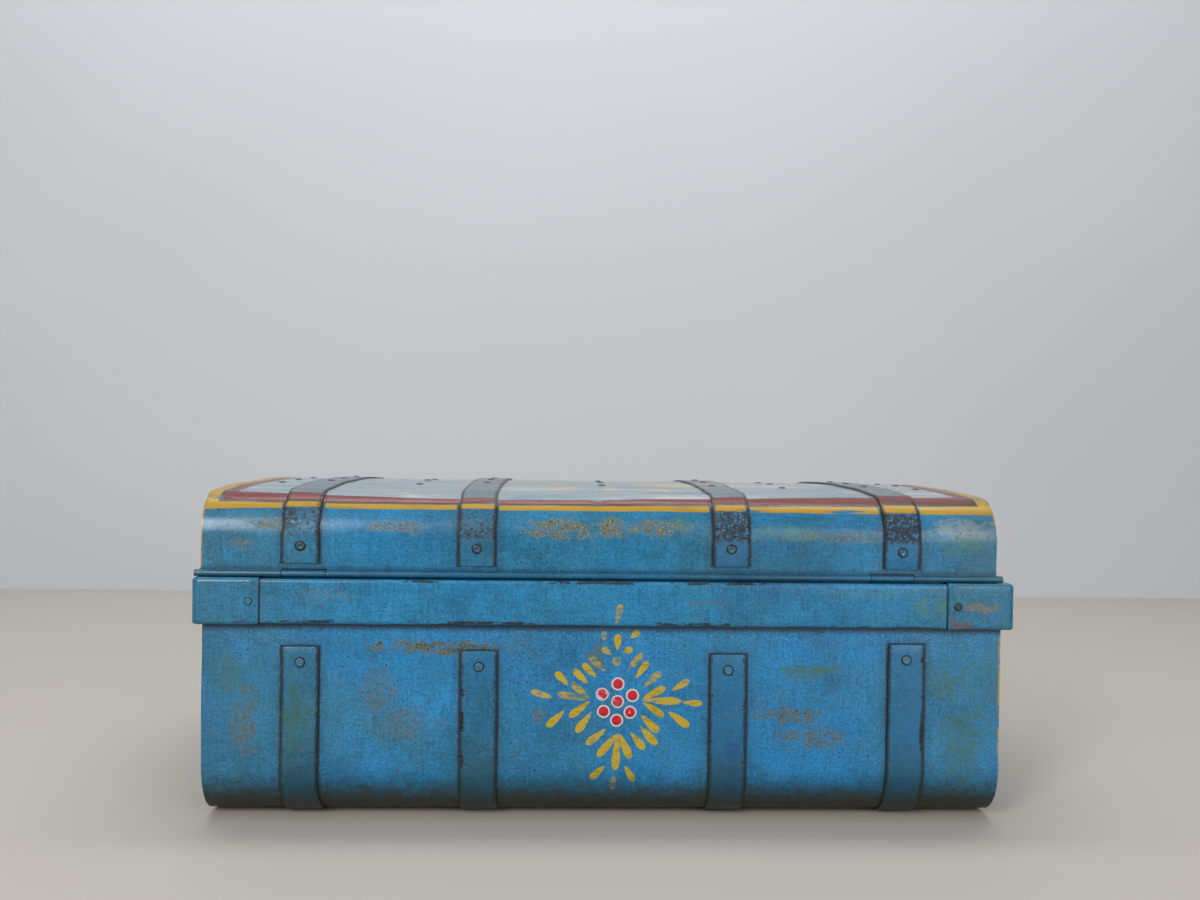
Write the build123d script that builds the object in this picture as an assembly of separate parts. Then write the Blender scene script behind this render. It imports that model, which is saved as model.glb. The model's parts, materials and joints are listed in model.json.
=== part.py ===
from build123d import *
import os
from math import asin, cos, degrees, radians, sin

# A riveted sheet-iron trunk with a hinged lid, built piece by piece.
#
# Millimetres. The origin is on the floor under the middle of the trunk. +X runs along
# its length, -Y is the hinge side, +Y is the hasp side, +Z is up. Left is -X.

# ---- Driving dimensions -------------------------------------------------------------

# Body
BODY_LENGTH = 762.0
BODY_DEPTH = 457.0
SHEET = 1.0
BODY_BEND = 52.0            # outer radius of the two long bottom edges
SEAM_LIP = 6.0              # the wrapped sheet folds over each end by this much
END_FLANGE = 10.0           # depth of the flange round each dished end
LIP_TOP = 188.0

# Inset rim that the lid closes over; along X it leaves the lid a little end play
RIM_INSET_X = 7.2
RIM_INSET_Y = 3.7
RIM_BEND_LOW = 200.0
RIM_BEND_HIGH = 204.0
RIM_TOP = 246.0
HEM = 8.0

# Straps
STRAP_WIDTH = 35.0
STRAP = 2.0
STRAP_CORNER = 3.0
# Strap number: (middle along X, height of its end). Cut and set by eye, so all differ.
BODY_STRAPS = {"1": (-289.0, 167.0), "2": (-120.5, 164.0), "3": (117.5, 162.0), "4": (289.0, 172.5)}
BODY_STRAP_RIVET = 15.0     # below the strap's top
LID_STRAPS = {"1": (-290.0, 247.0), "2": (-124.0, 245.5), "3": (119.0, 247.5), "4": (284.5, 246.0)}
LID_STRAP_RIVET = 15.5      # above the strap's end

# Collar round the top of the body
COLLAR_TOP = 232.7
COLLAR_HEIGHT = 44.0
COLLAR_PROUD = 9.5
COLLAR_SHIFT = 1.0          # the collar was fitted a little to the right
COLLAR_SHEET = 1.0
COLLAR_TOP_ROUND = 4.0
COLLAR_BOTTOM_FOLD = 2.0
COLLAR_CORNER = 7.0
CREASE = 0.58               # a flat cut this share of a radius stays outside its fillet
LAP_X = 326.0               # where each end piece stops on the long sides
LAP = 15.0                  # how far the long strip runs on beneath it

# Lid
LID_LENGTH = 760.0
LID_SHIFT = -3.5            # the lid has crept to the left along its hinge
LID_DEPTH = 454.0
LID_TOP = 317.5
LID_BEND = 42.0
CROWN = 3700.0              # radius of the slightly arched top
ROLL = 3.2                  # outer radius of the edge rolled round the wire
ROLL_FLATS = 12             # faint flats left round a curled edge
ROLL_AXIS_Z = 236.2
ROLL_LENGTH = 770.0
ROLL_END_GAP = 0.2          # between an end's roll and the long rolls
WIRE = 1.9
WIRE_FLATS = 8
LID_SEAM_BOTTOM = 240.0
LID_FLANGE_BOTTOM = 249.0
BATTEN_WIDTH = 20.0
BATTEN = 1.5
BATTEN_LENGTH = 733.0
BATTEN_Y = {"back": -78.0, "middle": 0.0, "front": 78.0}
FREE_RIVET_X = (-342.0, -196.0, 0.0, 196.0, 342.0)

# Hinge
LEAF_WIDTH = 41.0
LEAF_X = {"left": -286.5, "right": 274.5}
LEAF_BOTTOM = 206.0
LEAF_STEP = (9.0, 6.0)      # below the axis, where the leaf steps out to its curl
LEAF_PLAY = 0.6
LEAF_NOTCH_TOP = 240.6      # top of the gap cut in the lid's edge
LEAF_RIVET = (12.0, 9.0)    # off its middle, above its bottom

# Handles
HANDLE_Z = 150.0
HANDLE_ROD = 3.5
HANDLE_FLATS = 10           # the bar is rolled with this many faint flats
HANDLE_BEND = 6.0
HANDLE_CUT = 0.3            # share of the bend at which its middle lies from the corner
HANDLE_TAPER = 3.0          # each leg leans in by this much at the bottom
HANDLE_REACH = 50.0
HANDLE_SPAN = 112.0         # between the two hanging legs
HANDLE_STUB = 74.0          # between the inner ends of the two pivots
HANDLE_PLATE = (134.0, 34.0, 1.6)
HANDLE_PLATE_CORNER = 6.0
HANDLE_PLATE_RIVET_Y = 20.0
SADDLE_Y = 44.0
SADDLE_WIDTH = 10.0
SADDLE = 2.0
SADDLE_FLATS = 12
SADDLE_FOOT = 16.0
SADDLE_RIVET_Z = 11.5       # above and below the pivot
PLAY = 0.4

# Hasps
HASP_X = {"left": -204.0, "right": 204.0}
HASP_PIN_Z = 246.0
HASP_PIN = 1.5
HASP_SHEET = 1.6
HASP_WIDTH = 24.0
HASP_REACH = 54.0
HASP_GAP = 0.5              # between the hanging hasp and the collar
HASP_SLOT = (25.5, 46.0, 7.0)
HASP_SLOT_CORNER = 2.0
HASP_TIP = 7.5              # its lower corners are cut off by this much
HASP_FLATS = 12
HASP_SWING = 188.0          # from latched to leaning on its rivets
BRACKET_PLATE = (44.0, 24.0, 1.5)
BRACKET_CORNER = 3.0
BRACKET_BOTTOM = 240.8
BRACKET_RIVET = (8.0, 13.0) # off its middle, above the pin
EAR = 2.0
EAR_REACH = 4.0             # of the ear's metal round the pin
EAR_CORNER = 2.4
EAR_PLAY = 0.4
STAPLE_Z = 211.0
STAPLE_HEIGHT = 14.0
STAPLE = 3.5
STAPLE_PROUD = 10.0
STAPLE_ROOT = 3.0           # length of it inside the collar
STAPLE_NOSE = 4.0           # its nose is cut off by this much
STAPLE_EYE = 3.2            # radius of the hole for a padlock
STAPLE_EYE_EDGE = 1.3       # metal left in front of the eye

# Rivets: the set heads (diameter, height). Their shanks lie hidden in the sheets.
HEAD_FLATS = 8              # hammer blows round the edge of a head
HEAD_FALL = 0.75            # share of the height that slopes
STRAP_HEAD = (10.5, 2.2)
BATTEN_HEAD = (8.5, 1.4)
COLLAR_HEAD = (8.0, 1.6)
FITTING_HEAD = (8.0, 1.7)
SADDLE_HEAD = (6.5, 1.6)
COLLAR_RIVET_IN = 10.0      # from the end of the lap
HOLE_FLATS = 12             # a punched hole is this far from round

# ---- Worked out from them -----------------------------------------------------------

HALF_BODY = BODY_DEPTH / 2
HALF_LID = LID_DEPTH / 2
END_FACE = BODY_LENGTH / 2 - SHEET          # outer face of a body end panel
LID_END_FACE = LID_LENGTH / 2 - SHEET
RIM_Y = HALF_BODY - RIM_INSET_Y
RIM_X = END_FACE - RIM_INSET_X
ROLL_AXIS_Y = HALF_LID - SHEET + ROLL
ROLL_AXIS_X = LID_END_FACE - SHEET + ROLL
LEAN = degrees(asin((HALF_LID - LID_BEND) / (CROWN - LID_BEND)))
CROWN_CENTRE_Z = LID_TOP - CROWN
LID_SPRING = LID_TOP - CROWN * (1 - cos(radians(LEAN))) - LID_BEND * cos(radians(LEAN))
STRIP_FACE = HALF_BODY + COLLAR_PROUD - COLLAR_SHEET
HASP_PIN_Y = STRIP_FACE + HASP_GAP - HASP_SHEET
HANDLE_X = END_FACE + HANDLE_PLATE[2] + PLAY + HANDLE_ROD


# ---- Helpers ------------------------------------------------------------------------


def prism_x(section, x0, x1):
    """Extrude a section drawn in (y, z) from x0 to x1."""
    return extrude(Plane.YZ.offset(x0) * section, amount=x1 - x0)


def prism_y(section, y0, y1):
    """Extrude a section drawn in (x, z) from y0 to y1."""
    return extrude(Plane.XZ.offset(-y1) * section, amount=y1 - y0)


def block(x0, x1, y0, y1, z0, z1):
    """A box between two corners."""
    centre = Pos((x0 + x1) / 2, (y0 + y1) / 2, (z0 + z1) / 2)
    return centre * Box(x1 - x0, y1 - y0, z1 - z0)


def polygon(*points):
    return make_face(Polyline(*points, close=True))


def cut_rectangle(width, height, corner):
    """A rectangle with its corners cut off."""
    face = Rectangle(width, height)
    return chamfer(face.vertices(), corner)


def punched(radius):
    """A hole that just takes a round of this radius."""
    return RegularPolygon(radius, HOLE_FLATS, major_radius=False)


def curl(outer, inner, flats):
    """Section of a sheet curled round a pin: true inside, with faint hammered flats outside."""
    return RegularPolygon(outer, flats) - Circle(inner)


def rolled_edge(x, y):
    """Section of a sheet edge beaten round a wire, with the faint flats that leaves."""
    outside = RegularPolygon(ROLL, ROLL_FLATS)
    inside = RegularPolygon(ROLL - SHEET, ROLL_FLATS)
    return Pos(x, y) * (outside - inside)


def mirror_y(shape):
    return mirror(shape, about=Plane.XZ)


def mirror_x(shape):
    return mirror(shape, about=Plane.YZ)


def rivet_head(size, seat, normal):
    """A low hammered head of (diameter, height), seated at a point on a face."""
    diameter, height = size
    head = extrude(RegularPolygon(diameter / 2, HEAD_FLATS), amount=height)
    head = chamfer(head.edges().group_by(Axis.Z)[-1], HEAD_FALL * height, HEAD_FALL * height)
    return Plane(origin=seat, z_dir=normal) * head


def crease(edges, radius):
    """Cut edges off flat, just clear of a fillet of this radius."""
    return chamfer(edges, CREASE * radius)


def write(name, *solids):
    """Save a sub-part: one solid, or a group of separate ones."""
    shape = solids[0] if len(solids) == 1 else Compound(children=list(solids))
    export_step(shape, f"parts/{name}.step")


# ---- Sections -----------------------------------------------------------------------


def body_outline(inset):
    """Body section up to the rim bend, inset from the outer skin, with rounded bottom edges."""
    width = BODY_DEPTH - 2 * inset
    bottom = STRAP + inset
    face = Pos(0, (bottom + RIM_BEND_LOW) / 2) * Rectangle(width, RIM_BEND_LOW - bottom)
    return fillet(face.vertices().group_by(Axis.Y)[0], BODY_BEND - inset)


def rim_wall(outer, rim):
    """Wall section that steps in from the outer face to the rim's face and stands up as the rim."""
    return polygon(
        (outer - SHEET, RIM_BEND_LOW),
        (outer, RIM_BEND_LOW),
        (rim, RIM_BEND_HIGH),
        (rim, RIM_TOP),
        (rim - SHEET, RIM_TOP),
        (rim - SHEET, RIM_BEND_HIGH),
    )


def rim_hem(rim):
    """The rim's top edge folded down inside."""
    face = rim - SHEET
    low = RIM_TOP - HEM
    return polygon((face, RIM_TOP), (face, low), (face - SHEET, low), (face - SHEET, RIM_TOP))


def lid_outline(inset):
    """Lid section above the roll's axis, inset from the outer skin: walls, bends and crown."""
    y = HALF_LID - inset
    bend = LID_BEND - inset
    rise = Line((-y, ROLL_AXIS_Z), (-y, LID_SPRING))
    turn = JernArc(rise @ 1, rise % 1, bend, LEAN - 90)
    crown = JernArc(turn @ 1, turn % 1, CROWN - inset, -2 * LEAN)
    fall = JernArc(crown @ 1, crown % 1, bend, LEAN - 90)
    drop = Line(fall @ 1, (y, ROLL_AXIS_Z))
    return make_face([rise, turn, crown, fall, drop, Line(drop @ 1, rise @ 0)])


def on_crown(x, y, height):
    """A point this far above the lid's top skin, and the skin's normal there."""
    slope = asin(y / CROWN)
    reach = CROWN + height
    return (x, reach * sin(slope), CROWN_CENTRE_Z + reach * cos(slope)), (0, sin(slope), cos(slope))


# ---- Body ---------------------------------------------------------------------------


def body_shell():
    """One sheet bent into back, bottom and front, its ends folded over the end panels."""
    shell = prism_x(body_outline(0) - body_outline(SHEET), -END_FACE, END_FACE)
    lip = prism_x(body_outline(0) - body_outline(SEAM_LIP), END_FACE, END_FACE + SHEET)
    lip -= block(0, BODY_LENGTH, -HALF_BODY, HALF_BODY, LIP_TOP, RIM_TOP)
    wall = prism_x(rim_wall(HALF_BODY, RIM_Y), SHEET - RIM_X, RIM_X - SHEET)
    hem = prism_x(rim_hem(RIM_Y), 2 * SHEET - RIM_X, RIM_X - 2 * SHEET)
    shell += [lip, mirror_x(lip), wall, mirror_y(wall), hem, mirror_y(hem)]
    return shell


def body_end():
    """Right end panel, dished so that its flange lines the wrapped sheet."""
    panel = prism_x(body_outline(SHEET), END_FACE - SHEET, END_FACE)
    panel += prism_x(
        body_outline(SHEET) - body_outline(2 * SHEET), END_FACE - SHEET - END_FLANGE, END_FACE - SHEET
    )
    panel += prism_y(rim_wall(END_FACE, RIM_X), -RIM_Y, RIM_Y)
    panel += prism_y(rim_hem(RIM_X), 2 * SHEET - RIM_Y, RIM_Y - 2 * SHEET)
    return panel


def body_strap(x, top):
    """Flat iron from the back, under the bottom and up the front."""
    band = body_outline(-STRAP) - body_outline(0)
    strap = prism_x(band, x - STRAP_WIDTH / 2, x + STRAP_WIDTH / 2)
    strap -= block(-BODY_LENGTH, BODY_LENGTH, -BODY_DEPTH, BODY_DEPTH, top, COLLAR_TOP)
    return chamfer(strap.edges().filter_by(Axis.Y).group_by(Axis.Z)[-1], STRAP_CORNER)


def collar_bar(step, shape_edges):
    """Solid bar round the whole trunk, its faces set in by step from the end pieces' faces."""
    proud = 2 * (COLLAR_PROUD - step)
    height = COLLAR_HEIGHT - 2 * step
    bar = Box(BODY_LENGTH + proud, BODY_DEPTH + proud, height)
    bar = Pos(COLLAR_SHIFT, 0, COLLAR_TOP - COLLAR_HEIGHT / 2) * bar
    bar = shape_edges(bar.edges().filter_by(Axis.Z), COLLAR_CORNER - step)
    bar = shape_edges(bar.edges().group_by(Axis.Z)[-1], COLLAR_TOP_ROUND - step)
    return chamfer(bar.edges().group_by(Axis.Z)[0], COLLAR_BOTTOM_FOLD - CREASE * step)


def collar_channel(step):
    """Channel of folded sheet, open towards the body walls: rounded outside, creased inside."""
    inside = collar_bar(step + COLLAR_SHEET, crease)
    channel = collar_bar(step, fillet) - inside
    channel -= block(-END_FACE, END_FACE, -HALF_BODY, HALF_BODY, 0, RIM_BEND_HIGH)
    return channel - block(-RIM_X, RIM_X, -RIM_Y, RIM_Y, RIM_BEND_LOW, LID_TOP)


def collar_strip(channel, side):
    """The long side's channel, cut to run on beneath the end pieces; side is -1 at the back."""
    reach = LAP_X + LAP
    near, far = sorted((0, side * BODY_DEPTH))
    return channel & block(-reach, reach, near, far, 0, LID_TOP)


def collar_end(channel, side):
    """End piece wrapped round both corners and lapped over the strips; side is -1 at the left."""
    near, far = sorted((side * LAP_X, side * BODY_LENGTH))
    return channel & block(near, far, -BODY_DEPTH, BODY_DEPTH, 0, LID_TOP)


def leaf_slot(x, play, bottom, top):
    """Room for a hinge leaf of the body, play wider each side, through lid edge or collar."""
    half = LEAF_WIDTH / 2 + play
    inner = HALF_LID - SHEET - play
    return block(x - half, x + half, -ROLL_AXIS_Y - ROLL - play, -inner, bottom, top)


def hinge_leaf(x):
    """Strip rising behind the collar and curled round the hinge rod."""
    seat = -RIM_Y
    face = SHEET - HALF_LID
    low, high = (ROLL_AXIS_Z - drop for drop in LEAF_STEP)
    leaf = polygon(
        (seat, LEAF_BOTTOM),
        (seat, low),
        (face, high),
        (face, ROLL_AXIS_Z),
        (face - SHEET, ROLL_AXIS_Z),
        (face - SHEET, high),
        (seat - SHEET, low),
        (seat - SHEET, LEAF_BOTTOM),
    )
    leaf += Pos(-ROLL_AXIS_Y, ROLL_AXIS_Z) * curl(ROLL, ROLL - SHEET, ROLL_FLATS)
    return prism_x(leaf, x - LEAF_WIDTH / 2, x + LEAF_WIDTH / 2)


# ---- Lid ----------------------------------------------------------------------------


def lid_shell():
    """One sheet bent into back, crowned top and front, with both long edges rolled outward."""
    shell = prism_x(lid_outline(0) - lid_outline(SHEET), -LID_END_FACE, LID_END_FACE)
    lip = prism_x(lid_outline(0) - lid_outline(SEAM_LIP), LID_END_FACE, LID_END_FACE + SHEET)
    lip -= block(0, LID_LENGTH, -LID_DEPTH, LID_DEPTH, 0, LID_SEAM_BOTTOM)
    roll = prism_x(rolled_edge(ROLL_AXIS_Y, ROLL_AXIS_Z), -ROLL_LENGTH / 2, ROLL_LENGTH / 2)
    shell += [lip, mirror_x(lip), roll, mirror_y(roll)]
    shell = Pos(LID_SHIFT, 0, 0) * shell
    for x in LEAF_X.values():
        shell -= leaf_slot(x, LEAF_PLAY, ROLL_AXIS_Z - 2 * ROLL, LEAF_NOTCH_TOP)
    return shell


def lid_end():
    """Right end panel of the lid: dished into the shell, with its lower edge rolled."""
    panel = prism_x(lid_outline(SHEET), LID_END_FACE - SHEET, LID_END_FACE)
    flange = prism_x(
        lid_outline(SHEET) - lid_outline(2 * SHEET), LID_END_FACE - SHEET - END_FLANGE, LID_END_FACE - SHEET
    )
    flange -= block(0, LID_LENGTH, -LID_DEPTH, LID_DEPTH, 0, LID_FLANGE_BOTTOM)
    reach = HALF_LID - SHEET - ROLL_END_GAP
    roll = prism_y(rolled_edge(ROLL_AXIS_X, ROLL_AXIS_Z), -reach, reach)
    return panel + [flange, roll]


def lid_strap(x, end):
    """Flat iron over the lid, from the back edge to the front edge."""
    band = lid_outline(-STRAP) - lid_outline(0)
    strap = prism_x(band, x - STRAP_WIDTH / 2, x + STRAP_WIDTH / 2)
    strap -= block(-LID_LENGTH, LID_LENGTH, -LID_DEPTH, LID_DEPTH, 0, end)
    return chamfer(strap.edges().filter_by(Axis.Y).group_by(Axis.Z)[0], STRAP_CORNER)


def batten(y):
    """Flat iron lengthwise under the crown."""
    band = lid_outline(SHEET) - lid_outline(SHEET + BATTEN)
    bar = prism_x(band, -BATTEN_LENGTH / 2, BATTEN_LENGTH / 2)
    half = BATTEN_WIDTH / 2
    return bar & block(-LID_LENGTH, LID_LENGTH, y - half, y + half, LID_SPRING, LID_TOP)


def rim_wires():
    """Wires inside the rolled edge of the front and the two ends."""
    wire = RegularPolygon(WIRE, WIRE_FLATS)
    front = prism_x(Pos(ROLL_AXIS_Y, ROLL_AXIS_Z) * wire, -ROLL_LENGTH / 2, ROLL_LENGTH / 2)
    reach = HALF_LID - 2 * SHEET
    end = prism_y(Pos(ROLL_AXIS_X, ROLL_AXIS_Z) * wire, -reach, reach)
    return front, end, mirror_x(end)


# ---- Handles ------------------------------------------------------------------------


def handle():
    """Right handle: a rolled bar bent down into a bail, its ends turned in as pivots."""
    y = HANDLE_SPAN / 2
    foot_y = y - HANDLE_TAPER
    low = HANDLE_Z - HANDLE_REACH
    corner = HANDLE_BEND
    cut = HANDLE_CUT * corner
    half = [
        (HANDLE_STUB / 2, HANDLE_Z),
        (y - corner, HANDLE_Z),
        (y - cut, HANDLE_Z - cut),
        (y, HANDLE_Z - corner),
        (foot_y, low + corner),
        (foot_y - cut, low + cut),
        (foot_y - corner, low),
    ]
    other_half = [(-across, up) for across, up in reversed(half)]
    route = Plane.YZ.offset(HANDLE_X) * Polyline(*half, *other_half)
    bar = RegularPolygon(HANDLE_ROD, HANDLE_FLATS)
    return sweep(Plane(origin=route @ 0, z_dir=route % 0) * bar, path=route, transition=Transition.RIGHT)


def handle_plate():
    width, height, thick = HANDLE_PLATE
    plate = Pos(0, HANDLE_Z) * cut_rectangle(width, height, HANDLE_PLATE_CORNER)
    return prism_x(plate, END_FACE, END_FACE + thick)


def handle_saddle(y):
    """Strap bowed over one pivot, with a riveted foot above and below."""
    seat = END_FACE + HANDLE_PLATE[2]
    bow = HANDLE_ROD + PLAY
    outer = bow + SADDLE
    back = RegularPolygon(outer, SADDLE_FLATS, major_radius=False, rotation=180 / SADDLE_FLATS)
    section = Pos(HANDLE_X, HANDLE_Z) * back
    section += polygon(
        (seat, HANDLE_Z - outer),
        (HANDLE_X, HANDLE_Z - outer),
        (HANDLE_X, HANDLE_Z + outer),
        (seat, HANDLE_Z + outer),
    )
    section += polygon(
        (seat, HANDLE_Z - SADDLE_FOOT),
        (seat + SADDLE, HANDLE_Z - SADDLE_FOOT),
        (seat + SADDLE, HANDLE_Z + SADDLE_FOOT),
        (seat, HANDLE_Z + SADDLE_FOOT),
    )
    section -= Pos(HANDLE_X, HANDLE_Z) * Circle(bow)
    section -= polygon(
        (seat - outer, HANDLE_Z - bow),
        (HANDLE_X, HANDLE_Z - bow),
        (HANDLE_X, HANDLE_Z + bow),
        (seat - outer, HANDLE_Z + bow),
    )
    section -= Pos(seat - outer, HANDLE_Z) * Rectangle(2 * outer, 4 * outer)
    return prism_y(section, y - SADDLE_WIDTH / 2, y + SADDLE_WIDTH / 2)


# ---- Hasps --------------------------------------------------------------------------


def hasp(x):
    """Slotted strap with an eye, drawn latched, then swung up to lean on its rivets."""
    half = HASP_WIDTH / 2
    start, stop, slot_width = HASP_SLOT
    tip = HASP_PIN_Z - HASP_REACH
    face = Pos(x, (HASP_PIN_Z + tip) / 2) * Rectangle(HASP_WIDTH, HASP_REACH)
    face = chamfer(face.vertices().group_by(Axis.Y)[0], HASP_TIP)
    slot = cut_rectangle(slot_width, stop - start, HASP_SLOT_CORNER)
    face -= Pos(x, HASP_PIN_Z - (start + stop) / 2) * slot
    strap = prism_y(face, HASP_PIN_Y + HASP_SHEET, HASP_PIN_Y + 2 * HASP_SHEET)
    eye = Pos(HASP_PIN_Y, HASP_PIN_Z) * curl(2 * HASP_SHEET, HASP_SHEET, HASP_FLATS)
    eye = prism_x(eye, x - half, x + half)
    return (strap + eye).rotate(Axis((x, HASP_PIN_Y, HASP_PIN_Z), (1, 0, 0)), HASP_SWING)


def hasp_bracket(x):
    """Plate on the lid's front with two ears that carry the pin."""
    width, height, thick = BRACKET_PLATE
    plate = Pos(x, BRACKET_BOTTOM + height / 2) * cut_rectangle(width, height, BRACKET_CORNER)
    bracket = prism_y(plate, HALF_LID, HALF_LID + thick)
    nose = HASP_PIN_Y + EAR_REACH
    ear = Pos((HALF_LID + nose) / 2, HASP_PIN_Z) * Rectangle(nose - HALF_LID, 2 * EAR_REACH)
    ear = chamfer(ear.vertices().group_by(Axis.X)[-1], EAR_CORNER)
    ear -= Pos(HASP_PIN_Y, HASP_PIN_Z) * punched(HASP_PIN)
    inner = HASP_WIDTH / 2 + EAR_PLAY
    bracket += prism_x(ear, x + inner, x + inner + EAR)
    bracket += prism_x(ear, x - inner - EAR, x - inner)
    return bracket


def hasp_pin(x):
    """Pin through both ears and the eye, cut flush with the ears."""
    reach = HASP_WIDTH / 2 + EAR_PLAY + EAR
    return prism_x(Pos(HASP_PIN_Y, HASP_PIN_Z) * Circle(HASP_PIN), x - reach, x + reach)


def hasp_staple(x):
    """Flat lug through the collar's face, with a round nose and an eye for a padlock."""
    inside = STRIP_FACE - COLLAR_SHEET - STAPLE_ROOT
    nose = STRIP_FACE + STAPLE_PROUD
    lug = Pos((inside + nose) / 2, STAPLE_Z) * Rectangle(nose - inside, STAPLE_HEIGHT)
    lug = chamfer(lug.vertices().group_by(Axis.X)[-1], STAPLE_NOSE)
    lug -= Pos(nose - STAPLE_EYE_EDGE - STAPLE_EYE, STAPLE_Z) * punched(STAPLE_EYE)
    return prism_x(lug, x - STAPLE / 2, x + STAPLE / 2)


# ---- Write every piece --------------------------------------------------------------

os.makedirs("parts", exist_ok=True)

# Body sheets
write("body_shell", body_shell())
right_end = body_end()
write("body_end_right", right_end)
write("body_end_left", mirror_x(right_end))

# Collar: two long strips, and two end pieces lapped over them
channel = collar_channel(COLLAR_SHEET)
back_strip = collar_strip(channel, -1)
for x in LEAF_X.values():
    back_strip -= leaf_slot(x, LEAF_PLAY, LEAF_BOTTOM, COLLAR_TOP)
front_strip = collar_strip(channel, 1)
for side, x in HASP_X.items():
    staple = hasp_staple(x)
    front_strip -= staple
    write(f"hasp_staple_{side}", staple)
write("collar_back", back_strip)
write("collar_front", front_strip)
lapping = collar_channel(0)
write("collar_end_right", collar_end(lapping, 1))
write("collar_end_left", collar_end(lapping, -1))

# Straps
for number, (x, top) in BODY_STRAPS.items():
    write(f"body_strap_{number}", body_strap(x, top))
for number, (x, end) in LID_STRAPS.items():
    write(f"lid_strap_{number}", lid_strap(x, end))

# Hinge
for side, x in LEAF_X.items():
    write(f"hinge_leaf_{side}", hinge_leaf(x))
on_lid = Pos(LID_SHIFT, 0, 0)
rod = Pos(-ROLL_AXIS_Y, ROLL_AXIS_Z) * Circle(WIRE)
write("hinge_rod", on_lid * prism_x(rod, -ROLL_LENGTH / 2, ROLL_LENGTH / 2))

# Lid
write("lid_shell", lid_shell())
right_lid_end = lid_end()
write("lid_end_right", on_lid * right_lid_end)
write("lid_end_left", on_lid * mirror_x(right_lid_end))
write("lid_rim_wires", *[on_lid * wire for wire in rim_wires()])
for place, y in BATTEN_Y.items():
    write(f"lid_batten_{place}", on_lid * batten(y))

# Handles
right_handle = handle()
right_plate = handle_plate()
right_saddles = [handle_saddle(-SADDLE_Y), handle_saddle(SADDLE_Y)]
write("handle_right", right_handle)
write("handle_left", mirror_x(right_handle))
write("handle_plate_right", right_plate)
write("handle_plate_left", mirror_x(right_plate))
write("handle_saddles_right", *right_saddles)
write("handle_saddles_left", *[mirror_x(saddle) for saddle in right_saddles])

# Hasps
for side, x in HASP_X.items():
    write(f"hasp_{side}", hasp(x))
    write(f"hasp_bracket_{side}", hasp_bracket(x))
    write(f"hasp_pin_{side}", hasp_pin(x))

# Rivets of the straps, back and front
body_heads = []
lid_heads = []
for way in (-1, 1):
    for x, top in BODY_STRAPS.values():
        seat = (x, way * (HALF_BODY + STRAP), top - BODY_STRAP_RIVET)
        body_heads.append(rivet_head(STRAP_HEAD, seat, (0, way, 0)))
    for x, end in LID_STRAPS.values():
        seat = (x, way * (HALF_LID + STRAP), end + LID_STRAP_RIVET)
        lid_heads.append(rivet_head(STRAP_HEAD, seat, (0, way, 0)))
write("body_strap_rivets", *body_heads)
write("lid_strap_rivets", *lid_heads)

# Rivets of the battens, through the straps or straight through the lid
batten_heads = []
for y in BATTEN_Y.values():
    for x, _ in LID_STRAPS.values():
        batten_heads.append(rivet_head(BATTEN_HEAD, *on_crown(x, y, STRAP)))
    for x in FREE_RIVET_X:
        batten_heads.append(rivet_head(BATTEN_HEAD, *on_crown(x, y, 0)))
write("lid_batten_rivets", *batten_heads)

# Rivets of the collar laps
collar_heads = []
rivet_x = LAP_X + COLLAR_RIVET_IN
rivet_z = COLLAR_TOP - COLLAR_HEIGHT / 2
for side in (-1, 1):
    for way in (-1, 1):
        seat = (side * rivet_x, way * (HALF_BODY + COLLAR_PROUD), rivet_z)
        collar_heads.append(rivet_head(COLLAR_HEAD, seat, (0, way, 0)))
write("collar_rivets", *collar_heads)

# Rivets of the hinge leaves, the handles and the hasp brackets
leaf_heads = []
shift, rise = LEAF_RIVET
for x in LEAF_X.values():
    for across in (x - shift, x + shift):
        seat = (across, -RIM_Y - SHEET, LEAF_BOTTOM + rise)
        leaf_heads.append(rivet_head(FITTING_HEAD, seat, (0, -1, 0)))
write("hinge_leaf_rivets", *leaf_heads)

handle_heads = []
plate_face = END_FACE + HANDLE_PLATE[2]
for side in (-1, 1):
    for y in (-SADDLE_Y, SADDLE_Y):
        for rise in (-SADDLE_RIVET_Z, SADDLE_RIVET_Z):
            seat = (side * (plate_face + SADDLE), y, HANDLE_Z + rise)
            handle_heads.append(rivet_head(SADDLE_HEAD, seat, (side, 0, 0)))
    for y in (-HANDLE_PLATE_RIVET_Y, HANDLE_PLATE_RIVET_Y):
        handle_heads.append(rivet_head(FITTING_HEAD, (side * plate_face, y, HANDLE_Z), (side, 0, 0)))
write("handle_rivets", *handle_heads)

bracket_heads = []
shift, rise = BRACKET_RIVET
for x in HASP_X.values():
    for across in (x - shift, x + shift):
        seat = (across, HALF_LID + BRACKET_PLATE[2], HASP_PIN_Z + rise)
        bracket_heads.append(rivet_head(FITTING_HEAD, seat, (0, 1, 0)))
write("hasp_bracket_rivets", *bracket_heads)
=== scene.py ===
# %% [markdown]
# # A painted tin trunk
# This trunk is folded from thin sheet iron, banded with flat iron, riveted and painted by
# hand. The solid model fixes every size and joint. Here each sheet gets the slight waves of
# hand work, each rivet a hammered head, and each surface its worn oil paint.
# %% Load the solid model
import json
from contextlib import contextmanager
from math import atan2, cos, radians, sin, sqrt

import bmesh
import bpy
from mathutils import Matrix, Vector, noise

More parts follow.
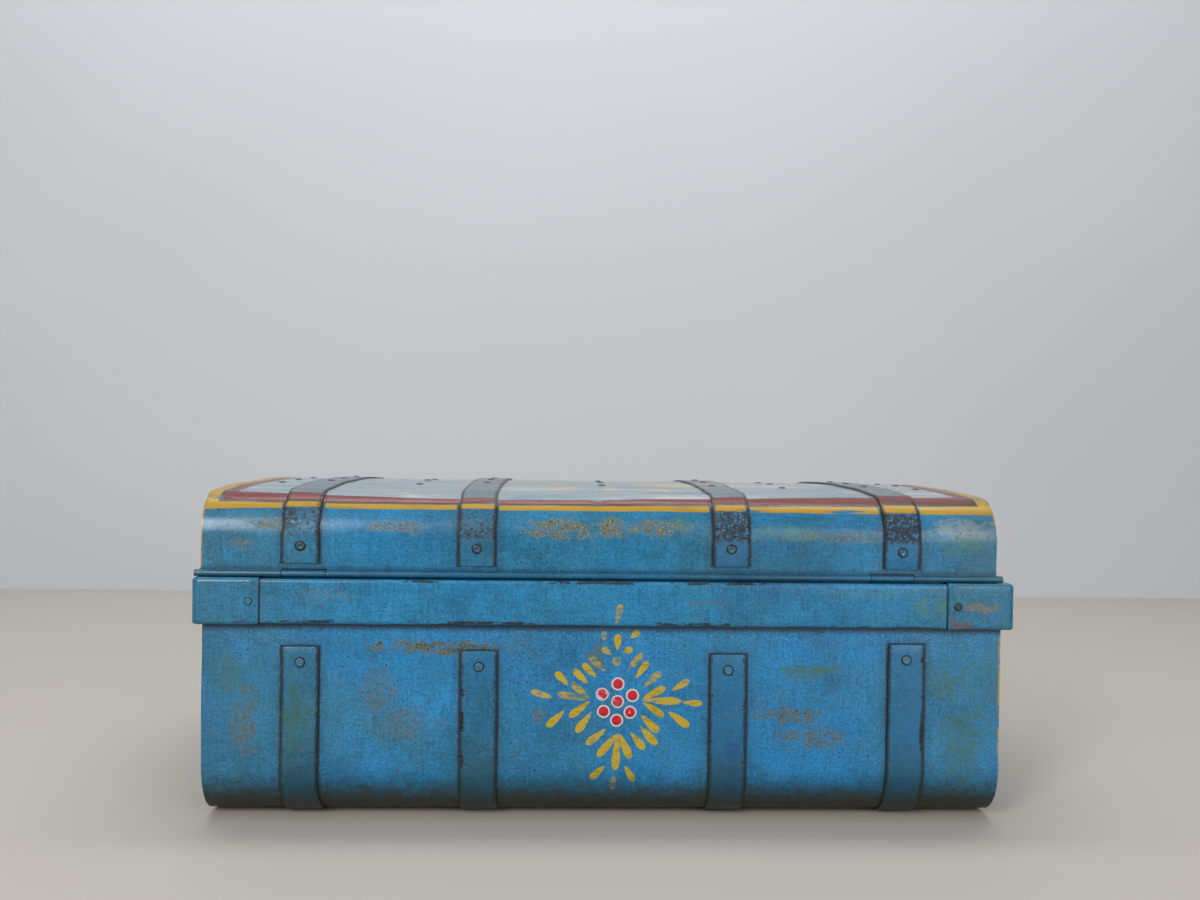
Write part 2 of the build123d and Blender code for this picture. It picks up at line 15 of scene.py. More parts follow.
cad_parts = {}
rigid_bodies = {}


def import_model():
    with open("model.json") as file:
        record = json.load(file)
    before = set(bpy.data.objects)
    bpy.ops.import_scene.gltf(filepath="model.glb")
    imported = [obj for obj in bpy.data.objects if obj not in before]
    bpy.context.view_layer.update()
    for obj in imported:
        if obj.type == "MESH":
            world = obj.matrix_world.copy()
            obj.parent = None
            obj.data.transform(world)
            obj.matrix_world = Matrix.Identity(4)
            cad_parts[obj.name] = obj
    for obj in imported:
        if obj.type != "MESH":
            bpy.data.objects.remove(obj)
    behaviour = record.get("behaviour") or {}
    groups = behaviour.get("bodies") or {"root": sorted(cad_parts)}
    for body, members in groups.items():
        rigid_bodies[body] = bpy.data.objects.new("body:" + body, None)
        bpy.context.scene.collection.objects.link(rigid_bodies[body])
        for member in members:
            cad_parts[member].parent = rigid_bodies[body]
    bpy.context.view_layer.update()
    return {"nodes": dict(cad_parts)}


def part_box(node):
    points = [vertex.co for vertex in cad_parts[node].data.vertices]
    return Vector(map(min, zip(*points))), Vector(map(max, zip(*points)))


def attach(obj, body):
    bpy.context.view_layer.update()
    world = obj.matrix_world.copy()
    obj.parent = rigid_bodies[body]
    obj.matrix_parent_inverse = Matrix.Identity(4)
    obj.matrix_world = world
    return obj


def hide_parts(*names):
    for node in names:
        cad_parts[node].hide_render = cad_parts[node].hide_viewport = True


for leftover in list(bpy.data.objects):
    bpy.data.objects.remove(leftover)
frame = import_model()
MM = 0.001
nodes = frame["nodes"]
print("solid pieces:", len(nodes))


def span(node):
    """Lowest and highest corner of a solid piece, in millimetres."""
    low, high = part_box(node)
    return [c / MM for c in low], [c / MM for c in high]


# %% [markdown]
# The camera stands a little above the lid and faces the hinge side. It is placed by three
# directions, its right, its up and its forward, which make its turning matrix.
# %% Camera
EYE = Vector((-47.8, -1355.3, 362.6)) * MM
TURN, DIP, ROLL_ANGLE = radians(2.022), radians(0.318), radians(0.731)
SENSOR, LENS = 36.0, 35.51
level = Vector((sin(TURN), cos(TURN), 0))
right = Vector((cos(TURN), -sin(TURN), 0))
up = Vector((0, 0, 1))
forward = level * cos(DIP) - up * sin(DIP)
up = up * cos(DIP) + level * sin(DIP)
tilted = right * cos(ROLL_ANGLE) + up * sin(ROLL_ANGLE)
up = up * cos(ROLL_ANGLE) - right * sin(ROLL_ANGLE)
turning = Matrix((tilted, up, -forward)).transposed().to_4x4()
bpy.ops.object.camera_add()
camera = bpy.context.object
camera.matrix_world = Matrix.Translation(EYE) @ turning
camera.data.sensor_width = SENSOR
camera.data.lens = LENS
camera.data.clip_start = 20 * MM
bpy.context.scene.camera = camera
bpy.context.scene.view_settings.view_transform = "Standard"
print("camera lens:", LENS, "mm")

# %% [markdown]
# A material is a net of nodes. Written as sums it stays readable, so one small class stands
# for a value inside the net, and Python's own signs add the nodes.
# %% Reckoning with shader values


def adds(operation):
    """A method that adds the Math node of this name."""
    return lambda *terms: terms[0].reckon(operation, *terms)


class Reading:
    """A value inside a material. Each sum on it adds its Math node."""

    def __init__(self, bench, socket):
        self.bench = bench
        self.socket = socket

    def reckon(self, operation, *terms):
        return self.bench.node("ShaderNodeMath", {"operation": operation}, dict(enumerate(terms)))

    __add__ = __radd__ = adds("ADD")
    __mul__ = __rmul__ = adds("MULTIPLY")
    __sub__ = adds("SUBTRACT")
    __truediv__ = adds("DIVIDE")
    __gt__ = adds("GREATER_THAN")
    __lt__ = adds("LESS_THAN")
    __abs__ = adds("ABSOLUTE")
    most = adds("MAXIMUM")
    least = adds("MINIMUM")

    def __rsub__(self, other):
        return self.reckon("SUBTRACT", other, self)

    def ease(self, low, high):
        """0 below low, 1 above high, and a soft step between; it falls where low is the larger."""
        values = {"Value": self, "From Min": low, "From Max": high}
        return self.bench.node("ShaderNodeMapRange", {"interpolation_type": "SMOOTHSTEP"}, values)


class Bench:
    """One material being made, with its nodes."""

    def __init__(self, name):
        self.material = bpy.data.materials.new(name)
        self.material.use_nodes = True
        self.tree = self.material.node_tree
        self.tree.nodes.clear()
        metres = self.node("ShaderNodeTexCoord", {}, {}, out="Object")
        self.spot = self.node("ShaderNodeVectorMath", {"operation": "SCALE"}, {0: metres, "Scale": 1 / MM})
        self.x, self.y, self.z = (
            self.node("ShaderNodeSeparateXYZ", {}, {0: self.spot}, out=axis) for axis in "XYZ"
        )

    def node(self, kind, settings, values, out=0):
        """Add a node: its settings first, then its sockets' values or links."""
        made = self.tree.nodes.new(kind)
        for name, value in settings.items():
            setattr(made, name, value)
        for name, value in values.items():
            socket = made.inputs[name]
            if isinstance(value, Reading):
                self.tree.links.new(value.socket, socket)
            elif isinstance(value, tuple) and socket.type == "RGBA":
                socket.default_value = (*value, 1)
            else:
                socket.default_value = value
        return Reading(self, made.outputs[out])

    def mix(self, mask, under, over):
        """Paint one colour over another where the mask is 1."""
        return self.node("ShaderNodeMix", {"data_type": "RGBA"}, {0: mask, 6: under, 7: over}, out=2)

    def pattern(self, kind, scale, start, values, out=0):
        """A pattern counted in its own sizes and shifted to its start."""
        moved = {0: self.spot, "Location": (start, start, start), "Scale": scale}
        vector = self.node("ShaderNodeMapping", {}, moved)
        return self.node(kind, {}, {"Vector": vector, "Scale": 1, **values}, out)

    def grain(self, size, stretch=(1, 1, 1), detail=3.0, rough=0.5, start=0.0):
        """Soft noise from 0 to 1 with features of this size in millimetres."""
        scale = tuple(1 / (size * s) for s in stretch)
        return self.pattern("ShaderNodeTexNoise", scale, start, {"Detail": detail, "Roughness": rough})

    def flecks(self, size, radius, start=0.0):
        """Small round spots, one to a cell of this size; radius in cells."""
        reach = self.pattern("ShaderNodeTexVoronoi", (1 / size,) * 3, start, {}, "Distance")
        return reach.ease(radius, 0.6 * radius)

    def bump(self, height, depth):
        """Relief of this many millimetres where height goes from 0 to 1."""
        return self.node("ShaderNodeBump", {}, {"Height": height, "Distance": depth * MM, "Strength": 1.0})

    def finish(self, colour, rough, normal):
        values = {"Base Color": colour, "Roughness": rough, "Normal": normal}
        shader = self.node("ShaderNodeBsdfPrincipled", {}, values)
        end = self.tree.nodes.new("ShaderNodeOutputMaterial")
        self.tree.links.new(shader.socket, end.inputs["Surface"])
        return self.material


SHINE = 0.02


def seen(red, green, blue):
    """A colour as it looks on screen, from 0 to 255, as the share of light that the paint itself
    returns, which is a little less, because some shine always lies on top."""
    light = (((c / 255 + 0.055) / 1.055) ** 2.4 for c in (red, green, blue))
    return tuple(max(0.003, share - SHINE) for share in light)


print("shader sums ready")
# %% [markdown]
# New pieces start as a plain block of the right size and are shaped in edit mode: points,
# edges and faces are chosen by where they lie, then bevelled, cut, extruded or spun.
# %% Shaping tools
CHOOSING = {"points": (True, False, False), "edges": (False, True, False), "faces": (False, False, True)}
X, Y, Z = 0, 1, 2
NEAR = 0.1                          # millimetres within which two places are the same
ALIGNED = 0.99                      # a unit vector with this much along an axis lies along it


def only(piece):
    """Select one piece alone and make it the active one."""
    bpy.ops.object.select_all(action="DESELECT")
    piece.select_set(True)
    bpy.context.view_layer.objects.active = piece


def block(name, x, y, z):
    """A block between two corners, in millimetres, with its place in its mesh."""
    bpy.ops.object.select_all(action="DESELECT")
    middle = [MM * (low + high) / 2 for low, high in (x, y, z)]
    bpy.ops.mesh.primitive_cube_add(size=1, location=middle)
    piece = bpy.context.object
    piece.name = name
    piece.scale = [MM * (high - low) for low, high in (x, y, z)]
    bpy.ops.object.transform_apply(location=True, rotation=True, scale=True)
    return piece


@contextmanager
def shaping(piece):
    """Edit mode on one piece."""
    only(piece)
    bpy.ops.object.mode_set(mode="EDIT")
    yield
    bpy.ops.object.mode_set(mode="OBJECT")


def pick(kind, test):
    """Select the points, edges or faces whose middle, in millimetres, passes a test."""
    bpy.context.tool_settings.mesh_select_mode = CHOOSING[kind]
    bpy.ops.mesh.select_all(action="DESELECT")
    mesh = bmesh.from_edit_mesh(bpy.context.edit_object.data)
    chosen = {"points": mesh.verts, "edges": mesh.edges, "faces": mesh.faces}[kind]
    for item in chosen:
        corners = [item] if kind == "points" else item.verts
        middle = sum((corner.co for corner in corners), Vector()) / (len(corners) * MM)
        if test(middle, item):
            item.select_set(True)
    bmesh.update_edit_mesh(bpy.context.edit_object.data)


def runs(edge, axis):
    """Whether an edge runs along an axis."""
    way = edge.verts[1].co - edge.verts[0].co
    return abs(way[axis]) > ALIGNED * way.length


def rows(axis, places):
    """Cut the whole piece across an axis at each place, so that it can bend there."""
    facing = Vector((0, 0, 0))
    facing[axis] = 1
    for place in places:
        bpy.ops.mesh.select_all(action="SELECT")
        bpy.ops.mesh.bisect(plane_co=facing * place * MM, plane_no=facing)


def count_faces(pieces):
    return [len(piece.data.polygons) for piece in pieces]


def steps(low, high, most):
    """Even places between two ends, no further apart than this, without the ends."""
    count = max(1, round((high - low) / most))
    return [low + (high - low) * i / count for i in range(1, count)]


def apply_all(piece):
    """Apply every modifier on the piece."""
    only(piece)
    for name in [modifier.name for modifier in piece.modifiers]:
        bpy.ops.object.modifier_apply(modifier=name)


def thicken(piece, thickness, lining=0):
    """Give a surface its thickness, inwards, with the inside on its own material slot."""
    for _ in range(2 * lining):
        piece.data.materials.append(None)
    solid = piece.modifiers.new("thickness", "SOLIDIFY")
    solid.thickness = thickness * MM
    solid.offset = -1
    solid.use_even_offset = True
    solid.material_offset = lining
    apply_all(piece)


def round_edges(piece, radius, segments=2, angle=35):
    """Take the sharpness off every edge that turns by more than the angle."""
    bevel = piece.modifiers.new("edges", "BEVEL")
    bevel.width = radius * MM
    bevel.segments = segments
    bevel.limit_method = "ANGLE"
    bevel.angle_limit = radians(angle)
    apply_all(piece)


def smooth(piece, angle=40):
    only(piece)
    bpy.ops.object.shade_smooth_by_angle(angle=radians(angle))


def move_points(piece, way):
    """Move each point of a finished mesh by what a rule gives for its place, in millimetres."""
    for point in piece.data.vertices:
        point.co += Vector(way(point.co / MM)) * MM


print("ways to choose:", *CHOOSING)
# %% [markdown]
# Thin sheet folded by hand is never flat: it swells between its folds and dips at its
# rivets. One soft field of noise moves sheet, straps and rivets together, so they keep
# touching, and it fades out where lid and body meet and where the straps stand.
# %% Hand work
SEED = 2870                         # with these waves the lid ends stay near their planes
noise.seed_set(SEED)
WAVE, WAVE_PITCH = 1.1, 105.0
RIPPLE, RIPPLE_PITCH = 0.16, 31
# Heights between which the waves grow from the foot, fade under the collar and grow on the lid
FOOT, NECK, LID_WALL = (3, 34), (150, 184), (248, 275)


def ramp(value, low, high):
    share = min(1.0, max(0.0, (value - low) / (high - low)))
    return share * share * (3 - 2 * share)


def wave(spot):
    """How far hand work has moved this spot, in millimetres."""
    x, y, z = spot
    loose = ramp(z, *FOOT) * (1 - ramp(z, *NECK)) + ramp(z, *LID_WALL)
    drift = noise.noise_vector(Vector((x, 1.3 * y, 1.2 * z)) / WAVE_PITCH)
    fine = noise.noise_vector(Vector((x, y, z + 500)) / RIPPLE_PITCH)
    return (drift * WAVE + fine * RIPPLE) * loose


print("waves up to about", WAVE + RIPPLE, "mm")
# %% [markdown]
# The body is one sheet: a block is opened at the top, its two long bottom edges are rounded,
# and its end faces are inset and opened, which leaves the lip that folds over each end. The
# top edges are then extruded into the rim that the lid closes over.
# %% Body sheet
BODY_X, BODY_Y = 381.0, 228.5
BODY_BEND, BODY_TOP = 52.0, 200
BEND_STEPS = 14
RIM_X, RIM_Y, RIM_LOW, RIM_TOP = 372.8, 224.8, 204, 246.0
HEM_IN, HEM_UP, HEM_DOWN = 1.6, 0.1, 8
SHEET, STRAP = 1.0, 2.0
LIP = 6.0


def trough(name, x, half_y, z, bend, lip, opening):
    """A block opened at its top (1) or bottom (-1) and at both ends, where a lip may stay, with
    the two long edges opposite the opening rounded."""
    closed = z[0] if opening > 0 else z[1]
    piece = block(name, x, (-half_y, half_y), z)
    with shaping(piece):
        pick("edges", lambda m, e: runs(e, X) and abs(m.z - closed) < 1)
        bpy.ops.mesh.bevel(offset=bend * MM, segments=BEND_STEPS, affect="EDGES")
        pick("faces", lambda m, f: f.normal.z * opening > ALIGNED)
        bpy.ops.mesh.delete(type="FACE")
        pick("faces", lambda m, f: abs(f.normal.x) > ALIGNED)
        if lip:
            bpy.ops.mesh.inset(thickness=lip * MM, depth=0, use_boundary=False)
        bpy.ops.mesh.delete(type="FACE")
    return piece


def raise_edge(test, to):
    """Extrude the chosen open edges and put each new point where a rule says."""
    pick("edges", test)
    bpy.ops.mesh.extrude_region_move()
    mesh = bmesh.from_edit_mesh(bpy.context.edit_object.data)
    for point in mesh.verts:
        if point.select:
            point.co = Vector(to(point.co / MM)) * MM
    bmesh.update_edit_mesh(bpy.context.edit_object.data)


def side(value):
    return 1 if value > 0 else -1


def raise_rim(axis, within, inwards):
    """Fold a top edge in, up, over and down again: the hemmed rim."""

    def edge(height):
        def test(m, e):
            return runs(e, axis) and abs(m.z - height) < NEAR and abs(m.x) < within and len(e.link_faces) == 1

        return test

    raise_edge(edge(BODY_TOP), lambda p: (*inwards(p, 0), RIM_LOW))
    raise_edge(edge(RIM_LOW), lambda p: (p.x, p.y, RIM_TOP))
    raise_edge(edge(RIM_TOP), lambda p: (*inwards(p, HEM_IN), RIM_TOP + HEM_UP))
    raise_edge(edge(RIM_TOP + HEM_UP), lambda p: (p.x, p.y, RIM_TOP - HEM_DOWN))


body = trough("body_sheet", (-BODY_X, BODY_X), BODY_Y, (STRAP, BODY_TOP), BODY_BEND, LIP, 1)
with shaping(body):
    rows(X, steps(-BODY_X, BODY_X, 16) + [1 - RIM_X, RIM_X - 1])
    rows(Z, steps(54, 188, 14) + [188])
    rows(Y, steps(-176, 176, 44))
    raise_rim(X, RIM_X - 1, lambda p, inward: (p.x, side(p.y) * (RIM_Y - inward)))
thicken(body, SHEET, lining=1)
move_points(body, wave)
smooth(body)
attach(body, "body")
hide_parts("body_shell")
print("faces of the body sheet:", count_faces([body]))

# %% [markdown]
# An end panel is the outward face of a thin block, with its two lower corners rounded to fit
# the sheet's bend, and its top edge is folded into the same rim. Being small and braced by
# its lips, it waves a little less than the long sides.
# %% Body ends
END_Y, END_LOW = BODY_Y - SHEET, STRAP + SHEET


def panel(name, way, x, half_y, z):
    """The outward face of a thin block that stands across an end."""
    piece = block(name, x, (-half_y, half_y), z)
    with shaping(piece):
        pick("faces", lambda m, f: f.normal.x * way < ALIGNED)
        bpy.ops.mesh.delete(type="FACE")
    return piece


body_ends = []
for way, name in ((-1, "left"), (1, "right")):
    x = (way * (BODY_X - 2 * SHEET), way * (BODY_X - SHEET))
    end = panel(f"body_end_panel_{name}", way, x, END_Y, (END_LOW, BODY_TOP))
    with shaping(end):
        pick("points", lambda m, p: m.z < END_LOW + 1)
        bpy.ops.mesh.bevel(offset=(BODY_BEND - SHEET) * MM, segments=BEND_STEPS, affect="VERTICES")
        rows(Y, steps(-END_Y, END_Y, 22))
        rows(Z, steps(END_LOW, BODY_TOP, 20))
        raise_rim(Y, BODY_X, lambda p, inward: (
            way * (RIM_X - inward), p.y if inward else p.y * (RIM_Y - SHEET) / END_Y
        ))
    thicken(end, SHEET, lining=1)
    move_points(end, lambda p: wave(p) * 0.8)
    smooth(end)
    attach(end, "body")
    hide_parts(f"body_end_{name}")
    body_ends.append(end)
print("body ends:", count_faces(body_ends))

# %% [markdown]
# The lid is folded the same way, upside down. A flat block top would be too stiff to the
# eye, so its points are lowered along a shallow arch, and its long lower edges are spun
# outward round the hinge line into the roll that stiffens the rim.
# %% Lid sheet
LID_LEFT, LID_RIGHT = -383.5, 376.5
LID_Y, LID_TOP, LID_BEND = 227.0, 317.5, 42.0
ARCH = 7400.0                       # the top falls by y * y / ARCH
BEND_LOW = LID_TOP - LID_BEND
HINGE_Y, HINGE_Z = 229.2, 236.2
ROLL, ROLL_TURN = 3.2, 318
ROLL_LEFT, ROLL_RIGHT = LID_LEFT - 5, LID_RIGHT + 5


def arch(spot):
    """Lower the flat top into a shallow arch, and the walls' tops with it."""
    flat = LID_Y - LID_BEND
    fall = min(spot.y**2, flat**2) / ARCH
    if spot.z < BEND_LOW:
        fall *= max(0.0, (spot.z - HINGE_Z) / (BEND_LOW - HINGE_Z))
    return (0, 0, -fall)


def cover(name, x, half_y, z, bend, lip):
    """A trough upside down, cut across so that its flat top follows the arch."""
    piece = trough(name, x, half_y, z, bend, lip, -1)
    with shaping(piece):
        rows(Y, steps(-185, 185, 18))
    move_points(piece, arch)
    return piece


def knuckle_gaps():
    """The two stretches of the lid's hinge edge where the body's leaves come up."""
    for leaf in ("hinge_leaf_left", "hinge_leaf_right"):
        low, high = span(leaf)
        yield low[X] - 0.6, high[X] + 0.6


def at_knuckle(x):
    return any(low < x < high for low, high in knuckle_gaps())


def spin_edge(test, turn, middle, axis, count=BEND_STEPS):
    """Spin the chosen open edges round a line."""
    pick("edges", test)
    bpy.ops.mesh.spin(steps=count, angle=turn, center=[c * MM for c in middle], axis=axis)


lid = cover("lid_sheet", (LID_LEFT, LID_RIGHT), LID_Y, (HINGE_Z, LID_TOP), LID_BEND, LIP)
with shaping(lid):
    gaps = [edge for gap in knuckle_gaps() for edge in gap]
    rows(X, steps(LID_LEFT, LID_RIGHT, 16) + gaps + [LID_LEFT + 1.5, LID_RIGHT - 1.5])
    rows(Z, [240.6, 248, 257, 266])
    for way in (-1, 1):
        spin_edge(
            lambda m, e: runs(e, X) and abs(m.y - way * LID_Y) < NEAR and abs(m.z - HINGE_Z) < NEAR,
            -way * radians(ROLL_TURN), (0, way * HINGE_Y, HINGE_Z), (1, 0, 0),
        )

    pick("faces", lambda m, f: m.y < 0 and m.z < 240.6 and at_knuckle(m.x))
    bpy.ops.mesh.delete(type="FACE")


def roll_ends(spot):
    """Carry the roll's ends out past the lid's corners."""
    if abs(spot.y) > LID_Y + 0.3:
        if spot.x < LID_LEFT + 1:
            return (ROLL_LEFT - spot.x, 0, 0)
        if spot.x > LID_RIGHT - 1:
            return (ROLL_RIGHT - spot.x, 0, 0)
    return (0, 0, 0)


def outside_of_roll(piece, test):
    """The roll shows the sheet's other face, so there the lining gives way to paint."""
    for face in piece.data.polygons:
        if test(face.center / MM):
            face.material_index = 0


move_points(lid, roll_ends)
thicken(lid, SHEET, lining=1)
outside_of_roll(lid, lambda m: abs(m.y) > LID_Y + NEAR)
move_points(lid, wave)
smooth(lid)
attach(lid, "lid")
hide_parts("lid_shell")
print("lid sheet:", count_faces([lid]))

# %% [markdown]
# The lid's end panels are made like the body's, upside down, and follow the arch. Their lower
# edge is spun outward too, so that the roll runs round all four sides.
# %% Lid ends
inside = LID_Y - SHEET
lid_ends = []
for way, name, face_x in ((-1, "left", LID_LEFT + 1), (1, "right", LID_RIGHT - 1)):
    x = sorted((face_x - way * SHEET, face_x))
    end = panel(f"lid_end_panel_{name}", way, x, inside, (HINGE_Z, LID_TOP - SHEET))
    with shaping(end):
        pick("points", lambda m, p: m.z > LID_TOP - 2)
        bpy.ops.mesh.bevel(offset=(LID_BEND - SHEET) * MM, segments=BEND_STEPS, affect="VERTICES")
        rows(Y, steps(-inside, inside, 20))
        rows(Z, [241, 252, 263, 275, 288, 300])
    move_points(end, arch)
    with shaping(end):
        spin_edge(
            lambda m, e: runs(e, Y) and abs(m.z - HINGE_Z) < NEAR,
            way * radians(ROLL_TURN), (face_x + way * (ROLL - SHEET), 0, HINGE_Z), (0, 1, 0),
        )
    thicken(end, SHEET, lining=1)
    outside_of_roll(end, lambda m: (m.x - face_x) * way > NEAR)
    move_points(end, wave)
    smooth(end)
    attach(end, "lid")
    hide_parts(f"lid_end_{name}")
    lid_ends.append(end)
print("lid ends:", count_faces(lid_ends))

# %% [markdown]
# The straps are 35 mm flat iron, cut and bent by eye. Each is the same open trough or cover
# as its sheet, one strap thickness larger and 35 mm long. Their edges wander a little, and
# an attribute across each strap lets its paint know where its edges are.
# %% Straps


def hand_cut(low, high, start):
    """Let the two long edges and the end of a strap wander, as cut with a chisel."""
    middle = (low + high) / 2

    def rule(spot):
        share = (spot.x - middle) / (high - middle)
        sway = noise.noise(Vector((start, spot.y / 40, spot.z / 40))) * 0.7
        nick = noise.noise(Vector((start + side(share) * 9, spot.y / 11, spot.z / 11))) * 0.35
        return (sway + nick * share, 0, noise.noise(Vector((start, spot.x / 12, 3))) * 0.4)

    return rule


def finish_strap(strap, low, high, start, node):
    thicken(strap, STRAP)
    round_edges(strap, 0.45)
    across = strap.data.attributes.new("across", "FLOAT", "POINT")
    for value, point in zip(across.data, strap.data.vertices):
        value.value = (point.co.x / MM - (low + high) / 2) / ((high - low) / 2)
    move_points(strap, hand_cut(low, high, start))
    move_points(strap, wave)
    smooth(strap)
    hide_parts(node)
    return strap


CORNER = 3
straps = []
for number, kind in ((number, kind) for number in "1234" for kind in ("body", "lid")):
    low, high = span(f"{kind}_strap_{number}")
    x, name, start = (low[X], high[X]), f"{kind}_band_{number}", 7.0 * int(number)
    if kind == "body":
        strap = trough(name, x, BODY_Y + STRAP, (0, high[Z]), BODY_BEND + STRAP, 0, 1)
        end, way = high[Z], 1
        heights, lengths = steps(54, end - 4, 9), steps(-176, 176, 30)
    else:
        strap = cover(name, x, LID_Y + STRAP, (low[Z], LID_TOP + STRAP), LID_BEND + STRAP, 0)
        end, way = low[Z], -1
        heights, lengths = steps(end + 4, 273, 8), []
        start += 50
    with shaping(strap):
        pick("points", lambda m, p: (m.z - end) * way > -0.5)
        bpy.ops.mesh.bevel(offset=CORNER * MM, segments=3, affect="VERTICES")
        rows(X, [low[X] + CORNER, (low[X] + high[X]) / 2, high[X] - CORNER])
        rows(Z, heights)
        rows(Y, lengths)
    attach(finish_strap(strap, low[X], high[X], start, f"{kind}_strap_{number}"), kind)
    straps.append(strap)
print("straps:", count_faces(straps))

# %% [markdown]
# The collar is a channel of folded sheet. Two long strips run along back and front, and an
# end piece wraps each end and laps over them. Each is a block opened towards the trunk,
# with its outer edges rounded, then given its thickness.
# %% Collar
COLLAR_LOW, COLLAR_TOP = 188.7, 232.7
COLLAR_Y = 238.0
LAP_X, STRIP_X = 326.0, 341.0
FACE_ROWS = [198, 205, 212, 219]
NOTCH_Y = -HINGE_Y - ROLL - 0.6
collar = []


def collar_sway(spot):
    """The collar's face and its lower edge wander a little; its top stays under the lid."""
    x, y, z = spot
    drift = abs(noise.noise(Vector((x / 60, y / 200, z / 40))))
    low_edge = 1 - ramp(z, COLLAR_LOW + 2, COLLAR_TOP - 12)
    inward = -side(y) * 0.45 * drift if abs(y) > LID_Y else 0
    return (0, inward, 0.9 * low_edge * noise.noise(Vector((x / 34, y / 34, 8))))


for way, name in ((-1, "back"), (1, "front")):
    face = COLLAR_Y - SHEET
    strip = block(
        f"collar_strip_{name}", (-STRIP_X, STRIP_X), sorted((way * RIM_Y, way * face)),
        (COLLAR_LOW + SHEET, COLLAR_TOP - SHEET),
    )
    with shaping(strip):
        pick("faces", lambda m, f: abs(f.normal.x) > ALIGNED or f.normal.y * way < -ALIGNED)
        bpy.ops.mesh.delete(type="FACE")
        pick("edges", lambda m, e: runs(e, X) and abs(m.y) > face - NEAR and m.z > 220)
        bpy.ops.mesh.bevel(offset=3.2 * MM, segments=5, affect="EDGES")
        pick("edges", lambda m, e: runs(e, X) and abs(m.y) > face - NEAR and m.z < 200)
        bpy.ops.mesh.bevel(offset=1.6 * MM, segments=3, affect="EDGES")
        rows(Z, FACE_ROWS)
        rows(X, steps(-STRIP_X, STRIP_X, 9) + (gaps if way < 0 else []))
        if way < 0:
            rows(Y, [NOTCH_Y])
            pick("faces", lambda m, f: m.z > 230 and m.y > NOTCH_Y and at_knuckle(m.x))
            bpy.ops.mesh.delete(type="FACE")
    thicken(strip, SHEET, lining=1)
    move_points(strip, collar_sway)
    smooth(strip, 50)
    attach(strip, "body")
    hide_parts(f"collar_{name}")
    collar.append(strip)

for way, name in ((-1, "left"), (1, "right")):
    low, high = span(f"collar_end_{name}")
    outer = high[X] if way > 0 else low[X]
    corners = sorted((way * LAP_X, outer)), (-COLLAR_Y, COLLAR_Y), (COLLAR_LOW, COLLAR_TOP)
    end = block(f"collar_cap_{name}", *corners)
    with shaping(end):
        pick("edges", lambda m, e: runs(e, Z) and abs(m.x - outer) < NEAR)
        bpy.ops.mesh.bevel(offset=7 * MM, segments=7, affect="EDGES")

        def on_outline(height):
            return lambda m, e: abs(m.z - height) < NEAR and abs(m.x) > LAP_X + NEAR and not runs(e, Z)

        pick("edges", on_outline(COLLAR_TOP))
        bpy.ops.mesh.bevel(offset=4 * MM, segments=5, affect="EDGES")
        pick("edges", on_outline(COLLAR_LOW))
        bpy.ops.mesh.bevel(offset=2 * MM, segments=3, affect="EDGES")
        pick("faces", lambda m, f: f.normal.x * way < -ALIGNED)
        bpy.ops.mesh.delete(type="FACE")
        rows(X, [way * RIM_X] + [way * c for c in steps(LAP_X, RIM_X, 9)])
        rows(Y, [-RIM_Y, RIM_Y] + steps(-RIM_Y, RIM_Y, 16))
        rows(Z, FACE_ROWS)
        pick("faces", lambda m, f: abs(f.normal.z) > ALIGNED and abs(m.x) < RIM_X and abs(m.y) < RIM_Y)
        bpy.ops.mesh.delete(type="FACE")
    thicken(end, SHEET, lining=1)
    round_edges(end, 0.25, 1, 60)
    move_points(end, collar_sway)
    smooth(end, 50)
    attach(end, "body")
    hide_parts(f"collar_end_{name}")
    collar.append(end)
print("collar:", count_faces(collar))

# %% [markdown]
# Each hinge leaf is a strip of the same sheet that comes up behind the collar and curls
# round the hinge rod, in a gap of the lid's roll: one upright face, its top edge spun round.
# Its lower part is set inwards, to lie against the rim.
# %% Hinge leaves
LEAF_TURN = 335
leaves = []
for name in ("left", "right"):
    low, high = span(f"hinge_leaf_{name}")
    leaf = block(f"knuckle_{name}", (low[X], high[X]), (-HINGE_Y, -LID_Y), (206, HINGE_Z))
    with shaping(leaf):
        pick("faces", lambda m, f: f.normal.y < ALIGNED)
        bpy.ops.mesh.delete(type="FACE")
        bpy.ops.mesh.select_all(action="SELECT")
        bpy.ops.mesh.flip_normals()
        rows(Z, [227.2, 230.2])
        spin_edge(
            lambda m, e: runs(e, X) and abs(m.z - HINGE_Z) < NEAR,
            radians(-LEAF_TURN), (0, -HINGE_Y, HINGE_Z), (1, 0, 0), 18,
        )
    move_points(leaf, lambda p: (0, LID_Y - RIM_Y - SHEET if p.z < 228 else 0, 0))
    thicken(leaf, SHEET)
    round_edges(leaf, 0.2, 1, 60)
    smooth(leaf)
    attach(leaf, "body")
    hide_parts(f"hinge_leaf_{name}")
    leaves.append(leaf)
print("knuckles:", count_faces(leaves))

# %% [markdown]
# A rivet is set with a hammer, so its head is a low dome with a flat, slightly hollow
# middle. One head is shaped, then copied to every seat of the solid model, each copy turned
# and stretched a little differently.
# %% Rivets
HEAD_SIDES = 20
SEAT_PITCH = 13                     # points nearer than this to each other belong to one head
TOP_LOW, END_X = 300, 378           # a head above this sits on the lid's top, one beyond on an end


